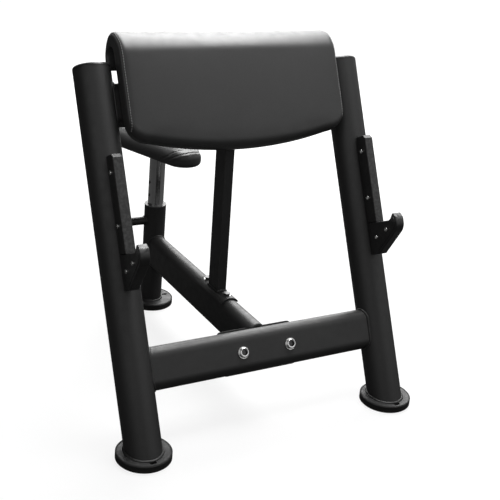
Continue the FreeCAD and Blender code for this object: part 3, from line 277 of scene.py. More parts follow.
def chrome():
    """Bright plating, with faint drawn streaks up the tube."""
    plate = Finish("chrome", Metallic=1.0)
    streak = plate.cloud(260.0, 3.0, plate.mapped(Scale=(1.0, 1.0, 0.02)))
    plate.colour(plate.tint(plate.spread(streak, 0.0, 1.0), grey(0.58), grey(0.74)))
    plate.roughness(plate.spread(plate.cloud(35.0, 4.0), 0.07, 0.17))
    plate.relief((streak, 0.04, 0.0003))
    return plate.material


def zinc():
    """Plated fasteners: pale steel with slight clouding."""
    steel = Finish("zinc_steel", Metallic=1.0)
    clouding = steel.spread(steel.cloud(220.0, 4.0), 0.0, 1.0)
    steel.colour(steel.tint(clouding, (0.55, 0.55, 0.54), (0.80, 0.80, 0.79)))
    steel.roughness(steel.spread(steel.cloud(160.0, 4.0), 0.16, 0.34))
    steel.relief((steel.cloud(700.0, 2.0), 0.08, 0.0003))
    return steel.material


def bolt_steel():
    """The flange bolts' button heads: bright rims round sockets with their shade painted in dark."""
    steel = Finish("bolt_steel", Metallic=1.0)
    low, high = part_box("flange_bolts")
    middle = (low + high) / 2
    split = steel.node("ShaderNodeSeparateXYZ", {0: steel.mapped(Rotation=(LEAN, 0.0, 0.0))})
    across = steel.math("SUBTRACT", steel.math("ABSOLUTE", split.outputs["X"]), BOLT_X * MM)
    up = steel.math("SUBTRACT", split.outputs["Z"], middle.z * math.cos(LEAN) + middle.y * math.sin(LEAN))
    flat = steel.node("ShaderNodeCombineXYZ", {0: across, 1: up}).outputs[0]
    away = steel.node("ShaderNodeVectorMath", {0: flat}, operation="LENGTH").outputs["Value"]
    # Painted shade: dark inside the socket and just round it, bright metal out on the rim
    painted_shade_r, rim_r = 0.0082, 0.0092
    rim = steel.spread(away, 0.0, 1.0, painted_shade_r, rim_r)
    steel.colour(steel.tint(rim, grey(0.06), grey(0.85)))
    steel.roughness(steel.spread(steel.cloud(160.0, 4.0), 0.20, 0.30))
    return steel.material


def dark_steel():
    """Blackened bolt heads: dull grey steel, paler where handled."""
    steel = Finish("dark_steel", Metallic=1.0)
    steel.colour(steel.tint(steel.spread(steel.cloud(320.0, 4.0), 0.0, 1.0), grey(0.055), grey(0.13)))
    steel.roughness(steel.spread(steel.cloud(200.0, 4.0), 0.30, 0.46))
    steel.relief((steel.cloud(700.0, 2.0), 0.08, 0.0003))
    return steel.material


def plywood():
    """Birch plywood: long wavy grain across the board."""
    wood = Finish("plywood", Specular_IOR_Level=0.3)
    place = wood.mapped(Scale=(1.0, 9.0, 9.0))
    rings = wood.node("ShaderNodeTexWave", {"Vector": place, "Scale": 3.0, "Distortion": 9.0, "Detail": 4.0,
                                            "Detail Scale": 1.2}, bands_direction="Y").outputs["Fac"]
    base = wood.tint(rings, (0.34, 0.215, 0.115), (0.52, 0.36, 0.21))
    fibre = wood.cloud(55.0, 5.0, wood.mapped(Scale=(1.0, 22.0, 22.0)))
    wood.colour(wood.tint(wood.spread(fibre, 0.0, 0.5, 0.45, 0.7), base, (0.24, 0.145, 0.075)))
    wood.roughness(wood.spread(fibre, 0.5, 0.68))
    wood.relief((fibre, 0.25, 0.0004))
    return wood.material


COAT, FOOT_COAT, VINYL, THREAD, RUBBER = powder_coat(), foot_coat(), vinyl(), thread(), rubber()
CATCH_PLASTIC = moulded_plastic("catch_plastic", 0.012, 0.019, True)
CAP_PLASTIC = moulded_plastic("cap_plastic", 0.010, 0.015, False)
BUSH_PLASTIC = moulded_plastic("bush_plastic", 0.060, 0.085, False)
CHROME, ZINC, BOLT_STEEL, DARK_STEEL, PLYWOOD = chrome(), zinc(), bolt_steel(), dark_steel(), plywood()

NODE_FINISH = {
    FOOT_COAT: ("left_base_disc", "right_base_disc", "rear_base_disc"),
    RUBBER: ("left_foot_pad", "right_foot_pad", "rear_foot_pad"),
    CATCH_PLASTIC: ("left_guide", "right_guide", "left_hook_liner", "right_hook_liner"),
    CAP_PLASTIC: ("left_post_cap", "right_post_cap", "lock_knob", "post_glide"),
    BUSH_PLASTIC: ("sleeve_bush",),
    CHROME: ("seat_post", "saddle_washers"),
    BOLT_STEEL: ("flange_bolts",),
    ZINC: ("flange_washers", "flange_nuts", "saddle_inserts", "pad_bolts", "pad_washers", "pad_tee_nuts",
           "lock_spring", "lock_pin", "seat_bolts", "seat_tee_nuts", "catch_screws"),
    DARK_STEEL: ("saddle_bolts",),
    VINYL: ("arm_pad", "seat_cushion"),
    PLYWOOD: ("pad_board", "seat_board"),
}
finish_of = {name: finish for finish, names in NODE_FINISH.items() for name in names}
for name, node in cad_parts.items():
    node.data.materials.clear()
    node.data.materials.append(finish_of.get(name, COAT))


# Mesh helpers
def new_piece(name, points, faces, finish, edges=()):
    mesh = bpy.data.meshes.new(name)
    mesh.from_pydata(points, edges, faces)
    mesh.materials.append(finish)
    if faces:
        sides = bmesh.new()
        sides.from_mesh(mesh)
        bmesh.ops.recalc_face_normals(sides, faces=sides.faces)
        sides.to_mesh(mesh)
        sides.free()
        mesh.shade_smooth()
    piece = bpy.data.objects.new(name, mesh)
    scene.collection.objects.link(piece)
    return piece


def settled(piece):
    """The piece's mesh with its modifiers applied."""
    bpy.context.view_layer.update()
    result = bpy.data.meshes.new_from_object(piece.evaluated_get(bpy.context.evaluated_depsgraph_get()))
    piece.modifiers.clear()
    piece.data = result
    return piece


def subdivide(piece):
    fine = piece.modifiers.new("fine", "SUBSURF")
    fine.levels = fine.render_levels = 1
    return settled(piece)


def joined(rings):
    """Faces from each ring of point numbers to the next."""
    count = len(rings[0])
    return [(here[i], here[(i + 1) % count], there[(i + 1) % count], there[i])
            for here, there in zip(rings, rings[1:]) for i in range(count)]


def surface_of(piece):
    """The piece's faces, ready for ray casts."""
    return BVHTree.FromPolygons([vertex.co for vertex in piece.data.vertices],
                                [face.vertices for face in piece.data.polygons])


CLOTH_FRAMES = 20
CLOTH_STRETCH, CLOTH_BEND = 25, 2.0
EASE_SHARE = 0.6


def swell(piece, held, pressure, cap, eased):
    """Fills the cover out by cloth simulation and eases the ripples out of its movement, so it lies taut.

    held gives each point's pin weight. Movement levels off at the cap, in metres, and eased is how often
    neighbours are averaged.
    """
    start = [vertex.co.copy() for vertex in piece.data.vertices]
    pins = piece.vertex_groups.new(name="held")
    for index, weight in enumerate(held):
        if weight > 0:
            pins.add([index], weight, "REPLACE")
    cover = piece.modifiers.new("cover", "CLOTH")
    cover.point_cache.frame_start, cover.point_cache.frame_end = 1, CLOTH_FRAMES
    cover.collision_settings.use_collision = False
    settings = cover.settings
    settings.quality = 6
    settings.tension_stiffness = settings.compression_stiffness = CLOTH_STRETCH
    settings.bending_stiffness = CLOTH_BEND
    settings.use_pressure = True
    settings.uniform_pressure_force = pressure
    settings.vertex_group_mass = "held"
    settings.effector_weights.gravity = 0
    for number in range(1, CLOTH_FRAMES + 1):
        scene.frame_set(number)
    filled = piece.evaluated_get(bpy.context.evaluated_depsgraph_get())
    moved = [vertex.co.copy() for vertex in filled.data.vertices]
    piece.modifiers.remove(cover)
    piece.vertex_groups.clear()
    scene.frame_set(1)
    shifts = numpy.array(moved) - numpy.array(start)
    ends = numpy.array([edge.vertices for edge in piece.data.edges])
    count = numpy.bincount(ends.ravel(), minlength=len(start))[:, None]
    for _ in range(eased):
        beside = numpy.zeros_like(shifts)
        numpy.add.at(beside, ends[:, 0], shifts[ends[:, 1]])
        numpy.add.at(beside, ends[:, 1], shifts[ends[:, 0]])
        shifts = (1 - EASE_SHARE) * shifts + EASE_SHARE * beside / count
    for vertex, old, shift in zip(piece.data.vertices, start, map(Vector, shifts)):
        vertex.co = old + shift * cap / (cap + shift.length)


# Arm pad: a cover sewn with a panel round each end, over foam that rolls back over the top
PAD_HALF = 297.0
PAD_FRONT, PAD_BACK = 69.0, 25.3
PAD_CROWN, CROWN_FALL = 3.0, 0.8
PAD_LOW = 688.0
BOW_R, CORNER_R, EDGE_R, BOTTOM_R = 1080.0, 50.0, 14.0, 20.0
ROLL_S = 924.0
ROLL_PEAK = 10.0
LIP_OUT, LIP_IN = -42.0, -18.7
LIP_LOW, LIP_CORNER_R, LIP_SWELL = 906.0, 14.0, 8.0
GAP_RISE = 8.0
SLACK, POST_GAP = 1.6, 1.5
RECESS_HALF, RECESS_LOW, RECESS_HIGH, RECESS_FLOOR = 268.0, 735.0, 908.0, 37.6
# The end seam: its place on the rounded end, its row among the stations, its depth and the puckers beside it
SEAM_TURN, SEAM_STEP, SEAM_ROW = 45.0, 8.0, 4
SEAM_IN = EDGE_R * (1 - math.cos(math.radians(SEAM_TURN)))
SEAM_DEPTH, PUCKER, PUCKER_FADE = 1.5, 0.5, 11.0
# Points along the outer and the inner face, which have as many in all, and across the end panel
FOOT_STEPS, FACE_STEPS = 4, 34
ROLL_STEPS, LIP_STEPS = 28, 5
SLOT_STEPS, LIP_INNER_STEPS = 25, 8
ACROSS = 6
# Places across the pad: close to each end, then a count of even ones between
END_STATIONS, EVEN_STATIONS = (279.0, 272.0, 262.0), 33
# How firmly the cloth is held, from 0 to 1
SEAM_PIN, LIP_PIN, INNER_PIN, FOOT_PIN, PANEL_PIN = 0.9, 0.4, 1.0, 0.5, 0.25


def pad_bottom(x):
    """Height of the pad's lower edge: a shallow bow with round corners."""
    reach = abs(x)
    corner = PAD_HALF - CORNER_R
    low = PAD_LOW + BOW_R - math.sqrt(BOW_R ** 2 - min(reach, corner) ** 2)
    if reach > corner:
        low += CORNER_R - math.sqrt(max(CORNER_R ** 2 - (reach - corner) ** 2, 0.0))
    return low


def lip_bottom(x):
    """Height of the rear lip's lower edge, round at each end."""
    over = max(abs(x) - (PAD_HALF - LIP_CORNER_R), 0.0)
    return LIP_LOW + LIP_CORNER_R - math.sqrt(max(LIP_CORNER_R ** 2 - over ** 2, 0.0))


def turn(middle, radius, start, end, count):
    """Points after start on an arc, angles in degrees, as (forward, s)."""
    return [(middle[0] + radius * math.cos(math.radians(a)), middle[1] + radius * math.sin(math.radians(a)))
            for a in steps(start, end, count)]


def pad_sides(x, inset, slack):
    """The hooked section at x as two matched runs from its foot to its lip: outer face and inner face."""
    front = PAD_FRONT - inset - slack
    back = PAD_BACK + inset / 3
    lip_out = LIP_OUT + inset + slack
    lip_in = LIP_IN - inset / 3
    low = pad_bottom(x) + slack
    crown = PAD_CROWN * (1 - CROWN_FALL * (x / PAD_HALF) ** 2)
    roll = ((front + lip_out) / 2, ROLL_S)
    roll_r = (front - lip_out) / 2
    gap = ((back + lip_in) / 2, ROLL_S + GAP_RISE)
    gap_r = (back - lip_in) / 2
    outer = [(front - BOTTOM_R, low)]
    outer += turn((front - BOTTOM_R, low + BOTTOM_R), BOTTOM_R, -90, 0, FOOT_STEPS)
    outer += [(front + 4 * crown * u * (1 - u), between(low + BOTTOM_R, ROLL_S, u))
              for u in steps(0, 1, FACE_STEPS)]
    outer += [(forward, s + ROLL_PEAK * ((s - ROLL_S) / roll_r) ** 3)
              for forward, s in turn(roll, roll_r, 0, 180, ROLL_STEPS)]
    lip_end = min(lip_bottom(x) + LIP_SWELL, ROLL_S - 1.0)
    outer += [(lip_out, s) for s in steps(ROLL_S, lip_end, LIP_STEPS)]
    heel = BOTTOM_R / 2
    inner = [(back + heel, low)]
    inner += turn((back + heel, low + heel), heel, -90, -180, FOOT_STEPS)
    inner += [(back, s) for s in steps(low + heel, gap[1], FACE_STEPS)]
    inner += turn(gap, gap_r, 0, 180, SLOT_STEPS)
    inner += [(lip_in, s) for s in steps(gap[1], lip_end, LIP_INNER_STEPS)]
    return outer, inner


def pad_stations():
    """Places across the pad as (x, inset): a rounded end with the seam, close steps, then even steps."""
    angles = [0, 16, 30, SEAM_TURN - SEAM_STEP, SEAM_TURN, SEAM_TURN + SEAM_STEP, 70, 90]
    ends = [(PAD_HALF - EDGE_R + EDGE_R * math.cos(math.radians(a)), EDGE_R * (1 - math.sin(math.radians(a))))
            for a in angles]
    ends += [(x, 0.0) for x in END_STATIONS]
    ends += [(x, 0.0) for x in steps(END_STATIONS[-1], 0.0, EVEN_STATIONS)[:-1]]
    return ends + [(0.0, 0.0)] + [(-x, inset) for x, inset in reversed(ends)]


def in_recess(x, forward, s):
    """Whether a point of the inner face lies over the board."""
    return abs(x) < RECESS_HALF and RECESS_LOW < s < RECESS_HIGH and abs(forward - PAD_BACK) < 1


def make_arm_pad():
    stations = pad_stations()
    run = len(pad_sides(0, 0, 0)[0])
    points, held, rings = [], [], []
    for row, (x, inset) in enumerate(stations):
        outer, inner = pad_sides(x, inset, SLACK)
        on_seam = min(row, len(stations) - 1 - row) == SEAM_ROW
        lip = [(between(outer[-1][0], inner[-1][0], u), outer[-1][1] - 2 * LIP_SWELL * math.sqrt(u * (1 - u)))
               for u in steps(0, 1, ACROSS)[:-1]]
        foot = [(between(inner[0][0], outer[0][0], u), inner[0][1]) for u in steps(0, 1, ACROSS)[:-1]]
        hidden = [(RECESS_FLOOR if in_recess(x, forward, s) else forward, s) for forward, s in inner]
        loop = outer + lip + hidden[::-1] + foot
        rings.append(range(len(points), len(points) + len(loop)))
        points += [leaning(x, forward, s) for forward, s in loop]
        held += [SEAM_PIN if on_seam else 0.0] * run + [LIP_PIN] * len(lip)
        held += [INNER_PIN] * run + [FOOT_PIN] * len(foot)
    faces = joined(rings)
    lip_start = run
    inner_start = lip_start + ACROSS - 1
    foot_start = inner_start + run
    for ring in (rings[0], rings[-1]):
        ladder = []
        for k in range(run):
            first, last = ring[k], ring[inner_start + run - 1 - k]
            if k == 0:
                middle = [ring[foot_start + ACROSS - 2 - t] for t in range(ACROSS - 1)]
            elif k == run - 1:
                middle = [ring[lip_start + t] for t in range(ACROSS - 1)]
            else:
                middle = list(range(len(points), len(points) + ACROSS - 1))
                points += [points[first].lerp(points[last], u) for u in steps(0, 1, ACROSS)[:-1]]
                held += [PANEL_PIN] * (ACROSS - 1)
            ladder.append([first, *middle, last])
        for low, high in zip(ladder, ladder[1:]):
            for t in range(ACROSS):
                faces.append((low[t], low[t + 1], high[t + 1], high[t]))
    pad = new_piece("arm_pad_cover", points, faces, VINYL)
    swell(pad, held, pressure=3.0, cap=0.005, eased=24)
    normals = [vertex.normal.copy() for vertex in pad.data.vertices]
    for ring, (x, _) in zip(rings, stations):
        edge = PAD_HALF - SEAM_IN - abs(x)
        for i in range(run):
            vertex = pad.data.vertices[ring[i]]
            if abs(edge) < 0.01:
                vertex.co -= normals[ring[i]] * SEAM_DEPTH * MM
            elif -12 < edge < 40:
                # Small puckers where the thread draws the vinyl in
                draw = math.exp(-abs(edge) / PUCKER_FADE) * noise.noise(Vector((i * 0.42, x * 0.03, 1.7)))
                vertex.co += normals[ring[i]] * PUCKER * MM * draw
    limit = (POST_X - POST_R - POST_GAP) * MM
    for vertex in pad.data.vertices:
        vertex.co.x = max(-limit, min(limit, vertex.co.x))
    return subdivide(pad)


# Seat cushion: a cover drawn over a rounded triangle of foam and turned in under the board
NOSE_Y, NOSE_R = -160.0, 52.0
WING_X, WING_Y, WING_R = 82.0, 95.0, 60.0
SEAT_LOW, SEAT_SHOULDER, SEAT_TOP = 499.0, 519.5, 546.0
SEAT_EDGE = 22.0
CROWN_IN, CROWN_RISE = 42.0, 0.9
FLAP_IN = 30.0
SEAT_RECESS_Z, SEAT_RECESS_IN = 511.4, 13.6
SEAT_CENTRE = (0.0, 20.0)
NOSE_STEPS, WING_STEPS, SIDE_STEPS, BACK_STEPS = 84, 18, 36, 24


def seat_ring(inset):
    """The seat's plan drawn in by inset, as (x, y) from the seat post's axis, from the nose's left end."""
    run = math.hypot(WING_X, WING_Y - NOSE_Y)
    slope = math.degrees(math.atan2(WING_Y - NOSE_Y, WING_X) - math.acos((NOSE_R - WING_R) / run))

    def corner(middle, radius, start, end, count):
        return turn(middle, radius - inset, start, start, 1) + turn(middle, radius - inset, start, end, count)

    def side(a, b, count):
        return [(between(a[0], b[0], u), between(a[1], b[1], u)) for u in steps(0, 1, count)]

    nose = corner((0.0, NOSE_Y), NOSE_R, 180 - slope, 360 + slope, NOSE_STEPS)
    right = corner((WING_X, WING_Y), WING_R, slope, 90, WING_STEPS)
    left = corner((-WING_X, WING_Y), WING_R, 90, 180 - slope, WING_STEPS)
    ring = nose + side(nose[-1], right[0], SIDE_STEPS) + right[1:]
    ring += side(right[-1], left[0], BACK_STEPS) + left[1:]
    return ring + side(left[-1], nose[0], SIDE_STEPS)[:-1]


def make_seat_cover():
    # (height, inset, pin weight) from the board's recess, round the turned-in edge and up the side
    levels = [(SEAT_RECESS_Z, SEAT_RECESS_IN, 1), (499.2, SEAT_RECESS_IN, 1), (498.9, 20.0, 1),
              (498.7, FLAP_IN, 1), (497.8, FLAP_IN, 1), (497.6, 24.0, 1), (497.6, 16.0, 1), (497.9, 9.0, 1),
              (499.2, 5.0, 0.8), (502.0, 2.4, 0.3), (505.5, 1.5, 0), (509.0, 1.2, 0),
              (512.5, 1.2, 0), (516.0, 1.4, 0), (SEAT_SHOULDER, 1.6, 0)]
    # Round the shoulder and over the low crown
    levels += [(SEAT_SHOULDER + SEAT_EDGE * math.sin(a), 1.6 + SEAT_EDGE * (1 - math.cos(a)), 0)
               for a in steps(0, math.radians(80), 15)]
    edge_z, edge_in = levels[-1][:2]
    levels += [(between(edge_z, SEAT_TOP, math.sin(u * math.pi / 2)), between(edge_in, CROWN_IN, u), 0)
               for u in steps(0, 1, 7)]
    points, held, rings = [], [], []

    def add_ring(ring, z, pin):
        rings.append(range(len(points), len(points) + len(ring)))
        points.extend(at(x, REAR_Y + y, z) for x, y in ring)
        held.extend([pin] * len(ring))

    def drawn_in(ring, share):
        return [(between(SEAT_CENTRE[0], x, share), between(SEAT_CENTRE[1], y, share)) for x, y in ring]

    recess = seat_ring(SEAT_RECESS_IN)
    inner_top = seat_ring(CROWN_IN)
    for share in (0.35, 0.7):
        add_ring(drawn_in(recess, share), SEAT_RECESS_Z, 1)
    for z, inset, pin in levels:
        add_ring(seat_ring(inset), z, pin)
    for share in (0.86, 0.70, 0.54, 0.38, 0.22, 0.10):
        add_ring(drawn_in(inner_top, share), SEAT_TOP + CROWN_RISE * (1 - share), 0)
    count = len(recess)
    faces = joined(rings)
    for ring, z, pin in ((rings[0], SEAT_RECESS_Z, 1), (rings[-1], SEAT_TOP + CROWN_RISE, 0)):
        pole = len(points)
        points.append(at(SEAT_CENTRE[0], REAR_Y + SEAT_CENTRE[1], z))
        held.append(pin)
        faces += [(ring[i], ring[(i + 1) % count], pole) for i in range(count)]
    cover = new_piece("seat_cover", points, faces, VINYL)
    swell(cover, held, pressure=3.5, cap=0.006, eased=10)
    subdivide(cover)
    fold_nose(cover)
    return cover


# Creases drawn over the seat's nose, as (bearing about the nose's middle, height) along each
CREASES = (
    ((156.0, 501.0), (172.0, 513.5), (190.0, 526.0), (200.0, 535.0), (219.0, 541.5), (245.0, 543.0)),
    ((194.0, 514.0), (205.0, 521.5), (218.0, 528.5), (239.0, 535.5), (269.0, 538.5), (297.0, 538.0),
     (340.0, 531.0)),
)
CREASE_DEPTH, CREASE_WIDTH, CREASE_REACH = 1.5, 1.7, 18.0
# The fuller folds beside a crease: height as a share of its depth, distance below it and width
FOLDS = ((0.7, 5.0, 3.4), (0.25, -5.0, 4.0))
MARK_STEPS, MARK_RAY = 24, 0.09


def fold_nose(cover):
    """Presses the creases into the cover, each with a fuller fold below it."""
    normals = [vertex.normal.copy() for vertex in cover.data.vertices]
    surface = surface_of(cover)
    for marks in CREASES:
        line = []
        for (a, low), (b, high) in zip(marks, marks[1:]):
            for u in steps(0, 1, MARK_STEPS):
                bearing, height = math.radians(between(a, b, u)), between(low, high, u)
                way = Vector((math.cos(bearing), math.sin(bearing), 0.0))
                hit = surface.ray_cast(at(0.0, REAR_Y + NOSE_Y, height) + way * MARK_RAY, -way, MARK_RAY)[0]
                if hit:
                    line.append(hit)
        near = KDTree(len(line))
        for index, point in enumerate(line):
            near.insert(point, index)
        near.balance()
        for vertex, normal in zip(cover.data.vertices, normals):
            spot, index, distance = near.find(vertex.co)
            if distance > CREASE_REACH * MM:
                continue
            along = line[min(index + 1, len(line) - 1)] - line[max(index - 1, 0)]
            below = along.cross(normal).normalized()
            below *= -1 if below.z > 0 else 1
            across = (vertex.co - spot).dot(below) / MM
            share = index / (len(line) - 1)
            depth = CREASE_DEPTH * math.sin(math.pi * share) ** 0.6
            groove = -math.exp(-(across / CREASE_WIDTH) ** 2)
            puff = sum(rise * math.exp(-((across - away) / width) ** 2) for rise, away, width in FOLDS)
            ends = max(1.0 - max(distance / MM - abs(across) - 1.0, 0.0) / 6.0, 0.0)
            vertex.co += normal * depth * (groove + puff) * ends * MM


# Geometry trees for what follows a path or repeats along it, with sizes in metres
RING_SIDES = 10
BEAD_STEP, BEAD_SWAY, BEAD_RIPPLE = 0.0011, 0.0016, 0.09


def path_tree(name, sizes):
    """A tree fed a path, a finish and named sizes; with it, its inputs, a node adder and a closer."""
    tree = bpy.data.node_groups.new(name, "GeometryNodeTree")
    tree.interface.new_socket("Path", in_out="INPUT", socket_type="NodeSocketGeometry")
    tree.interface.new_socket("Finish", in_out="INPUT", socket_type="NodeSocketMaterial")
    for label, value in sizes.items():
        tree.interface.new_socket(label, in_out="INPUT", socket_type="NodeSocketFloat").default_value = value
    tree.interface.new_socket("Made", in_out="OUTPUT", socket_type="NodeSocketGeometry")
    given = tree.nodes.new("NodeGroupInput").outputs

    def add(kind, inputs=None, **settings):
        return add_node(tree, kind, inputs, **settings).outputs[0]

    def close(geometry):
        whole = add("GeometryNodeRealizeInstances", {0: geometry})
        painted = add("GeometryNodeSetMaterial", {"Geometry": whole, "Material": given["Finish"]})
        add_node(tree, "NodeGroupOutput", {0: painted})
        return tree

    return tree, given, add, close


def bead_tree():
    """A weld bead along the path: a round run with laid ripples and a slightly uneven line."""
    tree, given, add, close = path_tree("weld_bead", {"Radius": 0.0035, "Ripple": 0.0026})
    line = add("GeometryNodeMeshToCurve", {"Mesh": given["Path"]})
    line = add("GeometryNodeResampleCurve", {"Curve": line, "Length": BEAD_STEP}, mode="LENGTH")
    place = add("GeometryNodeInputPosition")
    cloud = add_node(tree, "ShaderNodeTexNoise", {"Vector": place, "Scale": 60.0, "Detail": 1.0})
    sway = add("ShaderNodeVectorMath", {0: cloud.outputs["Color"], 1: (0.5, 0.5, 0.5)}, operation="SUBTRACT")
    sway = add("ShaderNodeVectorMath", {0: sway, "Scale": BEAD_SWAY}, operation="SCALE")
    line = add("GeometryNodeSetPosition", {"Geometry": line, "Offset": sway})
    along = add_node(tree, "GeometryNodeSplineParameter").outputs["Length"]
    beat = calc(tree, "DIVIDE", along, given["Ripple"])
    beat = calc(tree, "SINE", calc(tree, "MULTIPLY", beat, 2 * math.pi))
    width = calc(tree, "MULTIPLY_ADD", beat, BEAD_RIPPLE, 1.0)
    width = calc(tree, "MULTIPLY", width, given["Radius"])
    ring = add("GeometryNodeCurvePrimitiveCircle", {"Resolution": RING_SIDES, "Radius": 1.0})
    return close(add("GeometryNodeCurveToMesh", {"Curve": line, "Profile Curve": ring, "Scale": width,
                                                 "Fill Caps": True}))


def rod_tree():
    """A plain round rod along each line of the path."""
    _, given, add, close = path_tree("rod", {"Radius": 0.001})
    line = add("GeometryNodeMeshToCurve", {"Mesh": given["Path"]})
    ring = add("GeometryNodeCurvePrimitiveCircle", {"Resolution": RING_SIDES, "Radius": given["Radius"]})
    return close(add("GeometryNodeCurveToMesh", {"Curve": line, "Profile Curve": ring, "Fill Caps": True}))


def stitch_tree():
    """Short rounded stitches or staples laid end to end along the path, each turned a little by chance."""
    tree, given, add, close = path_tree("stitch_row", {"Pitch": 0.005, "Length": 0.0036, "Thickness": 0.0009,
                                                       "Stray": 0.06})
    line = add("GeometryNodeMeshToCurve", {"Mesh": given["Path"]})
    spots = add_node(tree, "GeometryNodeCurveToPoints", {"Curve": line, "Length": given["Pitch"]},
                     mode="LENGTH").outputs
    ball = add("GeometryNodeMeshUVSphere", {"Segments": 8, "Rings": 6, "Radius": 0.5})
    thick, most = given["Thickness"], given["Stray"]
    size = add("ShaderNodeCombineXYZ", {0: thick, 1: thick, 2: given["Length"]})
    least = calc(tree, "MULTIPLY", most, -1.0)
    low = add("ShaderNodeCombineXYZ", {0: least, 1: least})
    high = add("ShaderNodeCombineXYZ", {0: most, 1: most})
    stray = add("FunctionNodeRandomValue", {0: low, 1: high, "Seed": 5}, data_type="FLOAT_VECTOR")
    rows = add("GeometryNodeInstanceOnPoints", {"Points": spots["Points"], "Instance": ball,
                                                "Rotation": spots["Rotation"], "Scale": size})
    return close(add("GeometryNodeRotateInstances", {"Instances": rows, "Rotation": stray}))


BEAD, ROD, STITCH = bead_tree(), rod_tree(), stitch_tree()


def grow(name, tree, paths, finish, body, slot, **sizes):
    """Runs a tree along paths, each given by its points and whether it closes, and keeps a plain piece."""
    points, edges = [], []
    for path, closed in paths:
        first = len(points)
        points += path
        edges += [(first + i, first + i + 1) for i in range(len(path) - 1)]
        if closed:
            edges.append((len(points) - 1, first))
    piece = new_piece(name, points, [], finish, edges)
    made = piece.modifiers.new(name, "NODES")
    made.node_group = tree
    inputs = {item.name: item.identifier for item in tree.interface.items_tree if item.in_out == "INPUT"}
    made[inputs["Finish"]] = finish
    for label, value in sizes.items():
        made[inputs[label]] = value
    settled(piece)
    piece.data.shade_smooth()
    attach(piece, body)


# Weld runs
ROUND_STEPS, FLAT_STEPS = 24, 12
HOUSE_STEPS = 40
FLANGE_STOP = FLANGE_TOP - 2.0
HEAD_SEARCH, HEAD_HALVINGS = 130.0, 30


def oval_ring():
    """Points round the flat-oval tube's outline as (across, up), long way up."""
    radius = TUBE_D / 2
    upper = [(radius * math.cos(a), TUBE_FLAT + radius * math.sin(a)) for a in steps(0, math.pi, ROUND_STEPS)]
    lower = [(radius * math.cos(a), -TUBE_FLAT + radius * math.sin(a))
             for a in steps(math.pi, 2 * math.pi, ROUND_STEPS)]
    right = [(radius, up) for up in steps(-TUBE_FLAT, TUBE_FLAT, FLAT_STEPS)]
    left = [(-radius, up) for up in steps(TUBE_FLAT, -TUBE_FLAT, FLAT_STEPS)]
    return upper + left + lower + right


def circle_path(place, count=64):
    """A closed path through the places at even angles."""
    return [place(2 * math.pi * i / count) for i in range(count)], True


def frame_weld_paths():
    """Runs where beams meet posts, posts and sleeve their feet, and spine and lock barrel the sleeve."""
    paths = []
    for side in (-1, 1):
        for height in (LOWER_S, UPPER_S):
            paths.append(([leaning(side * (POST_X - math.sqrt(POST_R ** 2 - f * f)), f, height + s)
                           for f, s in oval_ring()], True))
        foot_y = AXIS_Y + BASE_TOP * math.tan(LEAN)
        paths.append(circle_path(lambda a: at(side * POST_X + POST_R * math.cos(a),
                                              foot_y + POST_R / math.cos(LEAN) * math.sin(a), BASE_TOP)))
    paths.append(circle_path(lambda a: at(SLEEVE_R * math.cos(a), REAR_Y + SLEEVE_R * math.sin(a), BASE_TOP)))
    paths.append(([at(x, REAR_Y - math.sqrt(SLEEVE_R ** 2 - x * x), SPINE_Z + z)
                   for x, z in oval_ring()], True))
    # Round the spine's end on the flange, open above, where the spine laps over the flange
    back = -(TUBE_D / 2 + FLANGE_T)
    meeting = [(x, (SPINE_Z + z - back * math.sin(LEAN)) / math.cos(LEAN)) for x, z in oval_ring()]
    on_flange = [s < FLANGE_STOP for _, s in meeting]
    first = next(i for i, on in enumerate(on_flange) if on and not on_flange[i - 1])
    run = meeting[first:] + meeting[:first]
    paths.append(([leaning(x, back, s) for x, s in run[:sum(on_flange)]], False))

    def on_sleeve(a):
        y, z = LOCK_HOUSE_R * math.cos(a), LOCK_HOUSE_R * math.sin(a)
        return at(-math.sqrt(SLEEVE_R ** 2 - y ** 2), REAR_Y + y, LOCK_Z + z)

    paths.append(circle_path(on_sleeve, HOUSE_STEPS))
    return paths + strut_weld_paths()


def strut_weld_paths():
    """Runs round the strut's foot on the saddle and round its head under the crossbar."""
    foot_y = FRONT_Y + STRUT_FOOT
    top_y, top_z = AXIS_Y + UPPER_S * math.sin(LEAN), UPPER_S * math.cos(LEAN)
    slope = (top_y - foot_y) / (top_z - SPINE_ROUND_Z)
    outline = [(x, STRUT_Y) for x in steps(-STRUT_X, STRUT_X, 8)]
    outline += [(STRUT_X, v) for v in steps(STRUT_Y, -STRUT_Y, 16)]
    outline += [(-x, -v) for x, v in outline]
    saddle_r = TUBE_D / 2 + SADDLE_T
    foot, head = [], []
    for x, v in outline:
        z = SPINE_ROUND_Z + math.sqrt(saddle_r ** 2 - x * x)
        foot.append(at(x, foot_y + v + (z - SPINE_ROUND_Z) * slope, z))
        # Halving finds the height where this line of the strut meets the crossbar
        low, high = top_z - HEAD_SEARCH, top_z
        for _ in range(HEAD_HALVINGS):
            middle = (low + high) / 2
            point = at(x, foot_y + v + (middle - SPINE_ROUND_Z) * slope, middle)
            _, f, s = to_leaning(point)
            reach = math.hypot(f, max(abs(s - UPPER_S) - TUBE_FLAT, 0.0))
            if reach > TUBE_D / 2:
                low = middle
            else:
                high = middle
        head.append(point)
    return [(foot, True), (head, True)]


# Stitches beside the end seams: where rays to the pad start, their reach, and how proud a stitch lies
SEAM_RAY_OFF, SEAM_RAY_REACH, STITCH_RISE = 14.0, 40.0, 0.15


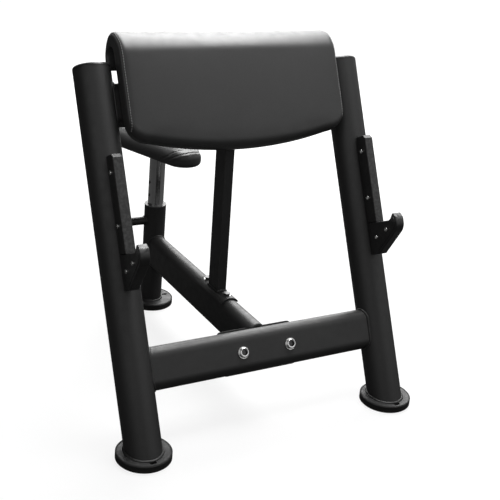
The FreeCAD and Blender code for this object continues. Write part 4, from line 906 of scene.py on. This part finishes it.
def seam_paths(pad, step_in):
    """Lines on the finished pad beside its two end seams, from the foot over the roll to the lip."""
    surface = surface_of(pad)
    paths = []
    for side in (-1, 1):
        x = side * (PAD_HALF - step_in)
        outer, _ = pad_sides(x, 0.0, 0.0)
        line = []
        for before, here, after in zip(outer, outer[1:], outer[2:]):
            run = Vector((0.0, after[0] - before[0], after[1] - before[1])).normalized()
            out = Vector((0.0, run.z, -run.y))
            start = leaning(x, here[0] + out.y * SEAM_RAY_OFF, here[1] + out.z * SEAM_RAY_OFF)
            aim = (leaning(x, *here) - start).normalized()
            hit, normal, _, _ = surface.ray_cast(start, aim, SEAM_RAY_REACH * MM)
            if hit:
                line.append(hit + normal * STITCH_RISE * MM)
        paths.append((line, False))
    return paths


# Turned-over strips of the cover on the board's back, as (x from, x to, s from, s to), and the staples in them
FLAP_STRIPS = ((-262.0, 262.0, 884.0, 913.0), (-273.0, 273.0, 857.0, 884.0),
               (-273.0, 273.0, 756.5, 780.0), (-262.0, 262.0, 729.0, 756.5))
FLAP_OUTSIDE, FLAP_INSIDE = 24.2, 25.1
FLAP_WAVE, FLAP_TAPER = 0.35, 0.5
FLAP_STEP_X, FLAP_STEP_S = 9.0, 5.0
STAPLE_ROWS, STAPLE_HALF, STAPLE_FORWARD = (893.0, 745.0), 258.0, 23.9


def make_board_flaps():
    """The cover's edge turned over the back of the pad's board, with a gap where the crossbar bears on it."""
    points, faces = [], []
    for x0, x1, s0, s1 in FLAP_STRIPS:
        across, up = int((x1 - x0) / FLAP_STEP_X), int((s1 - s0) / FLAP_STEP_S)
        first = len(points)
        for outside in (True, False):
            for i in range(across + 1):
                for k in range(up + 1):
                    x, s = between(x0, x1, i / across), between(s0, s1, k / up)
                    forward = FLAP_INSIDE
                    if outside:
                        forward = FLAP_OUTSIDE + FLAP_WAVE * noise.noise(Vector((x * 0.05, s * 0.08, 3.1)))
                        if i in (0, across) or k in (0, up):
                            forward += FLAP_TAPER
                    points.append(leaning(x, forward, s))
        width, layer = up + 1, (across + 1) * (up + 1)

        def spot(i, k, side):
            return first + side * layer + i * width + k

        for i in range(across):
            for k in range(up):
                faces.append((spot(i, k, 0), spot(i + 1, k, 0), spot(i + 1, k + 1, 0), spot(i, k + 1, 0)))
                faces.append((spot(i, k, 1), spot(i, k + 1, 1), spot(i + 1, k + 1, 1), spot(i + 1, k, 1)))
            for k in (0, up):
                faces.append((spot(i, k, 0), spot(i + 1, k, 0), spot(i + 1, k, 1), spot(i, k, 1)))
        for k in range(up):
            for i in (0, across):
                faces.append((spot(i, k, 0), spot(i, k + 1, 0), spot(i, k + 1, 1), spot(i, k, 1)))
    return new_piece("board_flaps", points, faces, VINYL)


def board_staple_paths():
    return [([leaning(x, STAPLE_FORWARD, s) for x in steps(-STAPLE_HALF, STAPLE_HALF, 26)], False)
            for s in STAPLE_ROWS]


# Assembly
arm_pad = make_arm_pad()
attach(arm_pad, "frame")
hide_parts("arm_pad")

seat_cover = make_seat_cover()
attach(seat_cover, "seat")
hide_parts("seat_cushion")

board_flaps = make_board_flaps()
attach(board_flaps, "frame")

grow("pad_stitches", STITCH, seam_paths(arm_pad, SEAM_IN + 2.6), THREAD, "frame", "black_vinyl",
     Pitch=0.0062, Length=0.0046, Thickness=0.0018)
grow("board_staples", STITCH, board_staple_paths(), ZINC, "frame", "zinc_steel",
     Pitch=0.027, Length=0.011, Thickness=0.0011, Stray=0.25)
SEAT_HEM_Z, SEAT_HEM_IN = 497.2, 21.0
seat_hem = [at(x, REAR_Y + y, SEAT_HEM_Z) for x, y in seat_ring(SEAT_HEM_IN)]
grow("seat_staples", STITCH, [(seat_hem, True)], ZINC, "seat", "zinc_steel",
     Pitch=0.024, Length=0.011, Thickness=0.0011, Stray=0.3)

grow("frame_welds", BEAD, frame_weld_paths(), COAT, "frame", "black_powder_coat", Radius=0.0036)
SEAT_WELD_R, SEAT_WELD_Z = 23.0, SEAT_LOW - 8.0
seat_weld = circle_path(lambda a: at(SEAT_WELD_R * math.cos(a), REAR_Y + SEAT_WELD_R * math.sin(a),
                                     SEAT_WELD_Z))
grow("seat_welds", BEAD, [seat_weld], COAT, "seat", "black_powder_coat", Radius=0.0030)

# A thin rib along both sides of each hook, as (forward, s)
HOOK_HALF = 12.0
rib = [(146.0, 470.0)] + turn((154.0, 470.0), 6.0, 120, 0, 6)
rib += turn((139.0, 462.2), 21.0, 0, -56.9, 8) + [(80.0, 398.7)]
hook_ribs = [([leaning(x + side, forward, s) for forward, s in rib], False)
             for x in (-POST_X, POST_X) for side in (-HOOK_HALF, HOOK_HALF)]
grow("hook_ribs", ROD, hook_ribs, CATCH_PLASTIC, "frame", "black_plastic", Radius=0.0009)

# Ribs round the knob's grip, from its outer end inwards
KNOB_RIBS, KNOB_R = 28, 19.9
RIB_FROM, RIB_TO = 6.5, 15.0
knob_low, knob_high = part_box("lock_knob")
knob_axis = (knob_low + knob_high) / 2 / MM
knob_ribs = []
for i in range(KNOB_RIBS):
    a = 2 * math.pi * i / KNOB_RIBS
    y, z = knob_axis.y + KNOB_R * math.cos(a), knob_axis.z + KNOB_R * math.sin(a)
    knob_ribs.append(([at(knob_low.x / MM + end, y, z) for end in (RIB_FROM, RIB_TO)], False))
grow("knob_ribs", ROD, knob_ribs, CAP_PLASTIC, "lock", "black_plastic", Radius=0.0009)


# Stage: a pale floor, soft lamps and a bright surround, in metres and watts
FLOOR_HALF = 20.0
WHITE = (1, 1, 1, 1)
FLOOR_MIRRORED, ROOM_LEAST, ROOM_DIFFUSE = 0.02, 0.06, 0.16
# Each lamp's name, place, aim, width, height and power
LAMPS = (
    ("key_lamp", (1.5, -3.0, 2.2), (0.0, -0.1, 0.5), 3.2, 2.4, 15.0),
    ("fill_lamp", (-2.3, -2.1, 1.9), (0.0, -0.1, 0.6), 4.0, 2.6, 23.0),
    ("back_lamp", (1.7, 2.6, 2.3), (0.0, 0.0, 0.5), 3.2, 3.6, 174.0),
    ("top_lamp", (0.85, 0.8, 3.0), (0.85, 0.8, 0.0), 1.7, 2.8, 190.0),
)
# The camera solved from the photograph: yaw, pitch and roll in degrees, and its lens in millimetres
CAMERA_TURN, CAMERA_PLACE = (31.204, 22.462, 5.355), (-1.1473, -2.12773, 1.3163)
CAMERA_LENS, CAMERA_SENSOR = 69.856, 36.0


def bare_tree(owner):
    """The emptied node tree of a material or a world."""
    owner.use_nodes = True
    owner.node_tree.nodes.clear()
    return owner.node_tree


def make_floor():
    """A floor that glows a little more further off, and hardly lights or shows in the bench."""
    corners = [Vector((x * FLOOR_HALF, y * FLOOR_HALF, 0.0)) for x, y in ((-1, -1), (1, -1), (1, 1), (-1, 1))]
    floor = new_piece("floor", corners, [(0, 1, 2, 3)], bpy.data.materials.new("pale_floor"))
    tree = bare_tree(floor.data.materials[0])
    place = add_node(tree, "ShaderNodeTexCoord").outputs["Object"]
    away = add_node(tree, "ShaderNodeVectorMath", {0: place}, operation="LENGTH").outputs["Value"]
    glow = ramp(tree, away, 0.8, 3.0, 0.80, 1.0, interpolation_type="SMOOTHSTEP")
    seen = seen_ray(tree, FLOOR_MIRRORED)
    strength = calc(tree, "MULTIPLY", glow, seen)
    shine = add_node(tree, "ShaderNodeEmission", {"Color": WHITE, "Strength": strength}).outputs[0]
    pale = ramp(tree, seen, 0.0, 1.0, 0.03, 0.15)
    matt = add_node(tree, "ShaderNodeBsdfDiffuse", {"Color": pale}).outputs[0]
    both = add_node(tree, "ShaderNodeAddShader", {0: shine, 1: matt}).outputs[0]
    add_node(tree, "ShaderNodeOutputMaterial", {"Surface": both})


def seen_ray(tree, mirrored):
    """1 for rays from the camera, the given share for rays off metal or through glass."""
    ray = add_node(tree, "ShaderNodeLightPath").outputs
    either = calc(tree, "MAXIMUM", ray["Is Glossy Ray"], ray["Is Transmission Ray"])
    either = calc(tree, "MULTIPLY", either, mirrored)
    return calc(tree, "MAXIMUM", ray["Is Camera Ray"], either)


def make_surround():
    """White to the camera; metal and gloss mirror a room that is dim on the left and paler on the right."""
    scene.world = bpy.data.worlds.new("studio")
    tree = bare_tree(scene.world)
    way = add_node(tree, "ShaderNodeTexCoord").outputs["Generated"]
    side = add_node(tree, "ShaderNodeSeparateXYZ", {0: way}).outputs["X"]
    room = ramp(tree, side, -0.4, 0.9, ROOM_LEAST, 0.5, interpolation_type="SMOOTHSTEP")
    strength = calc(tree, "MAXIMUM", seen_ray(tree, room), ROOM_LEAST)
    ray = add_node(tree, "ShaderNodeLightPath").outputs["Is Diffuse Ray"]
    strength = calc(tree, "MAXIMUM", strength, calc(tree, "MULTIPLY", ray, ROOM_DIFFUSE))
    glow = add_node(tree, "ShaderNodeBackground", {"Color": WHITE, "Strength": strength}).outputs[0]
    add_node(tree, "ShaderNodeOutputWorld", {"Surface": glow})


def soft_lamp(name, place, aim, width, height, power):
    lamp = bpy.data.lights.new(name, "AREA")
    lamp.shape = "RECTANGLE"
    lamp.size, lamp.size_y, lamp.energy = width, height, power
    holder = bpy.data.objects.new(name, lamp)
    scene.collection.objects.link(holder)
    holder.location = place
    holder.rotation_euler = (Vector(aim) - Vector(place)).to_track_quat("-Z", "Y").to_euler()


def make_camera():
    yaw, pitch, roll = (math.radians(angle) for angle in CAMERA_TURN)
    ahead = Vector((math.sin(yaw) * math.cos(pitch), math.cos(yaw) * math.cos(pitch), -math.sin(pitch)))
    level = Vector((math.cos(yaw), -math.sin(yaw), 0.0))
    rise = level.cross(ahead)
    right = level * math.cos(roll) + rise * math.sin(roll)
    up = rise * math.cos(roll) - level * math.sin(roll)
    lens = bpy.data.cameras.new("camera")
    lens.sensor_width, lens.lens = CAMERA_SENSOR, CAMERA_LENS
    camera = bpy.data.objects.new("camera", lens)
    scene.collection.objects.link(camera)
    stance = Matrix((right, up, -ahead)).transposed().to_4x4()
    stance.translation = CAMERA_PLACE
    camera.matrix_world = stance
    scene.camera = camera


make_floor()
make_surround()
for lamp in LAMPS:
    soft_lamp(*lamp)
make_camera()
scene.view_settings.view_transform = "Standard"
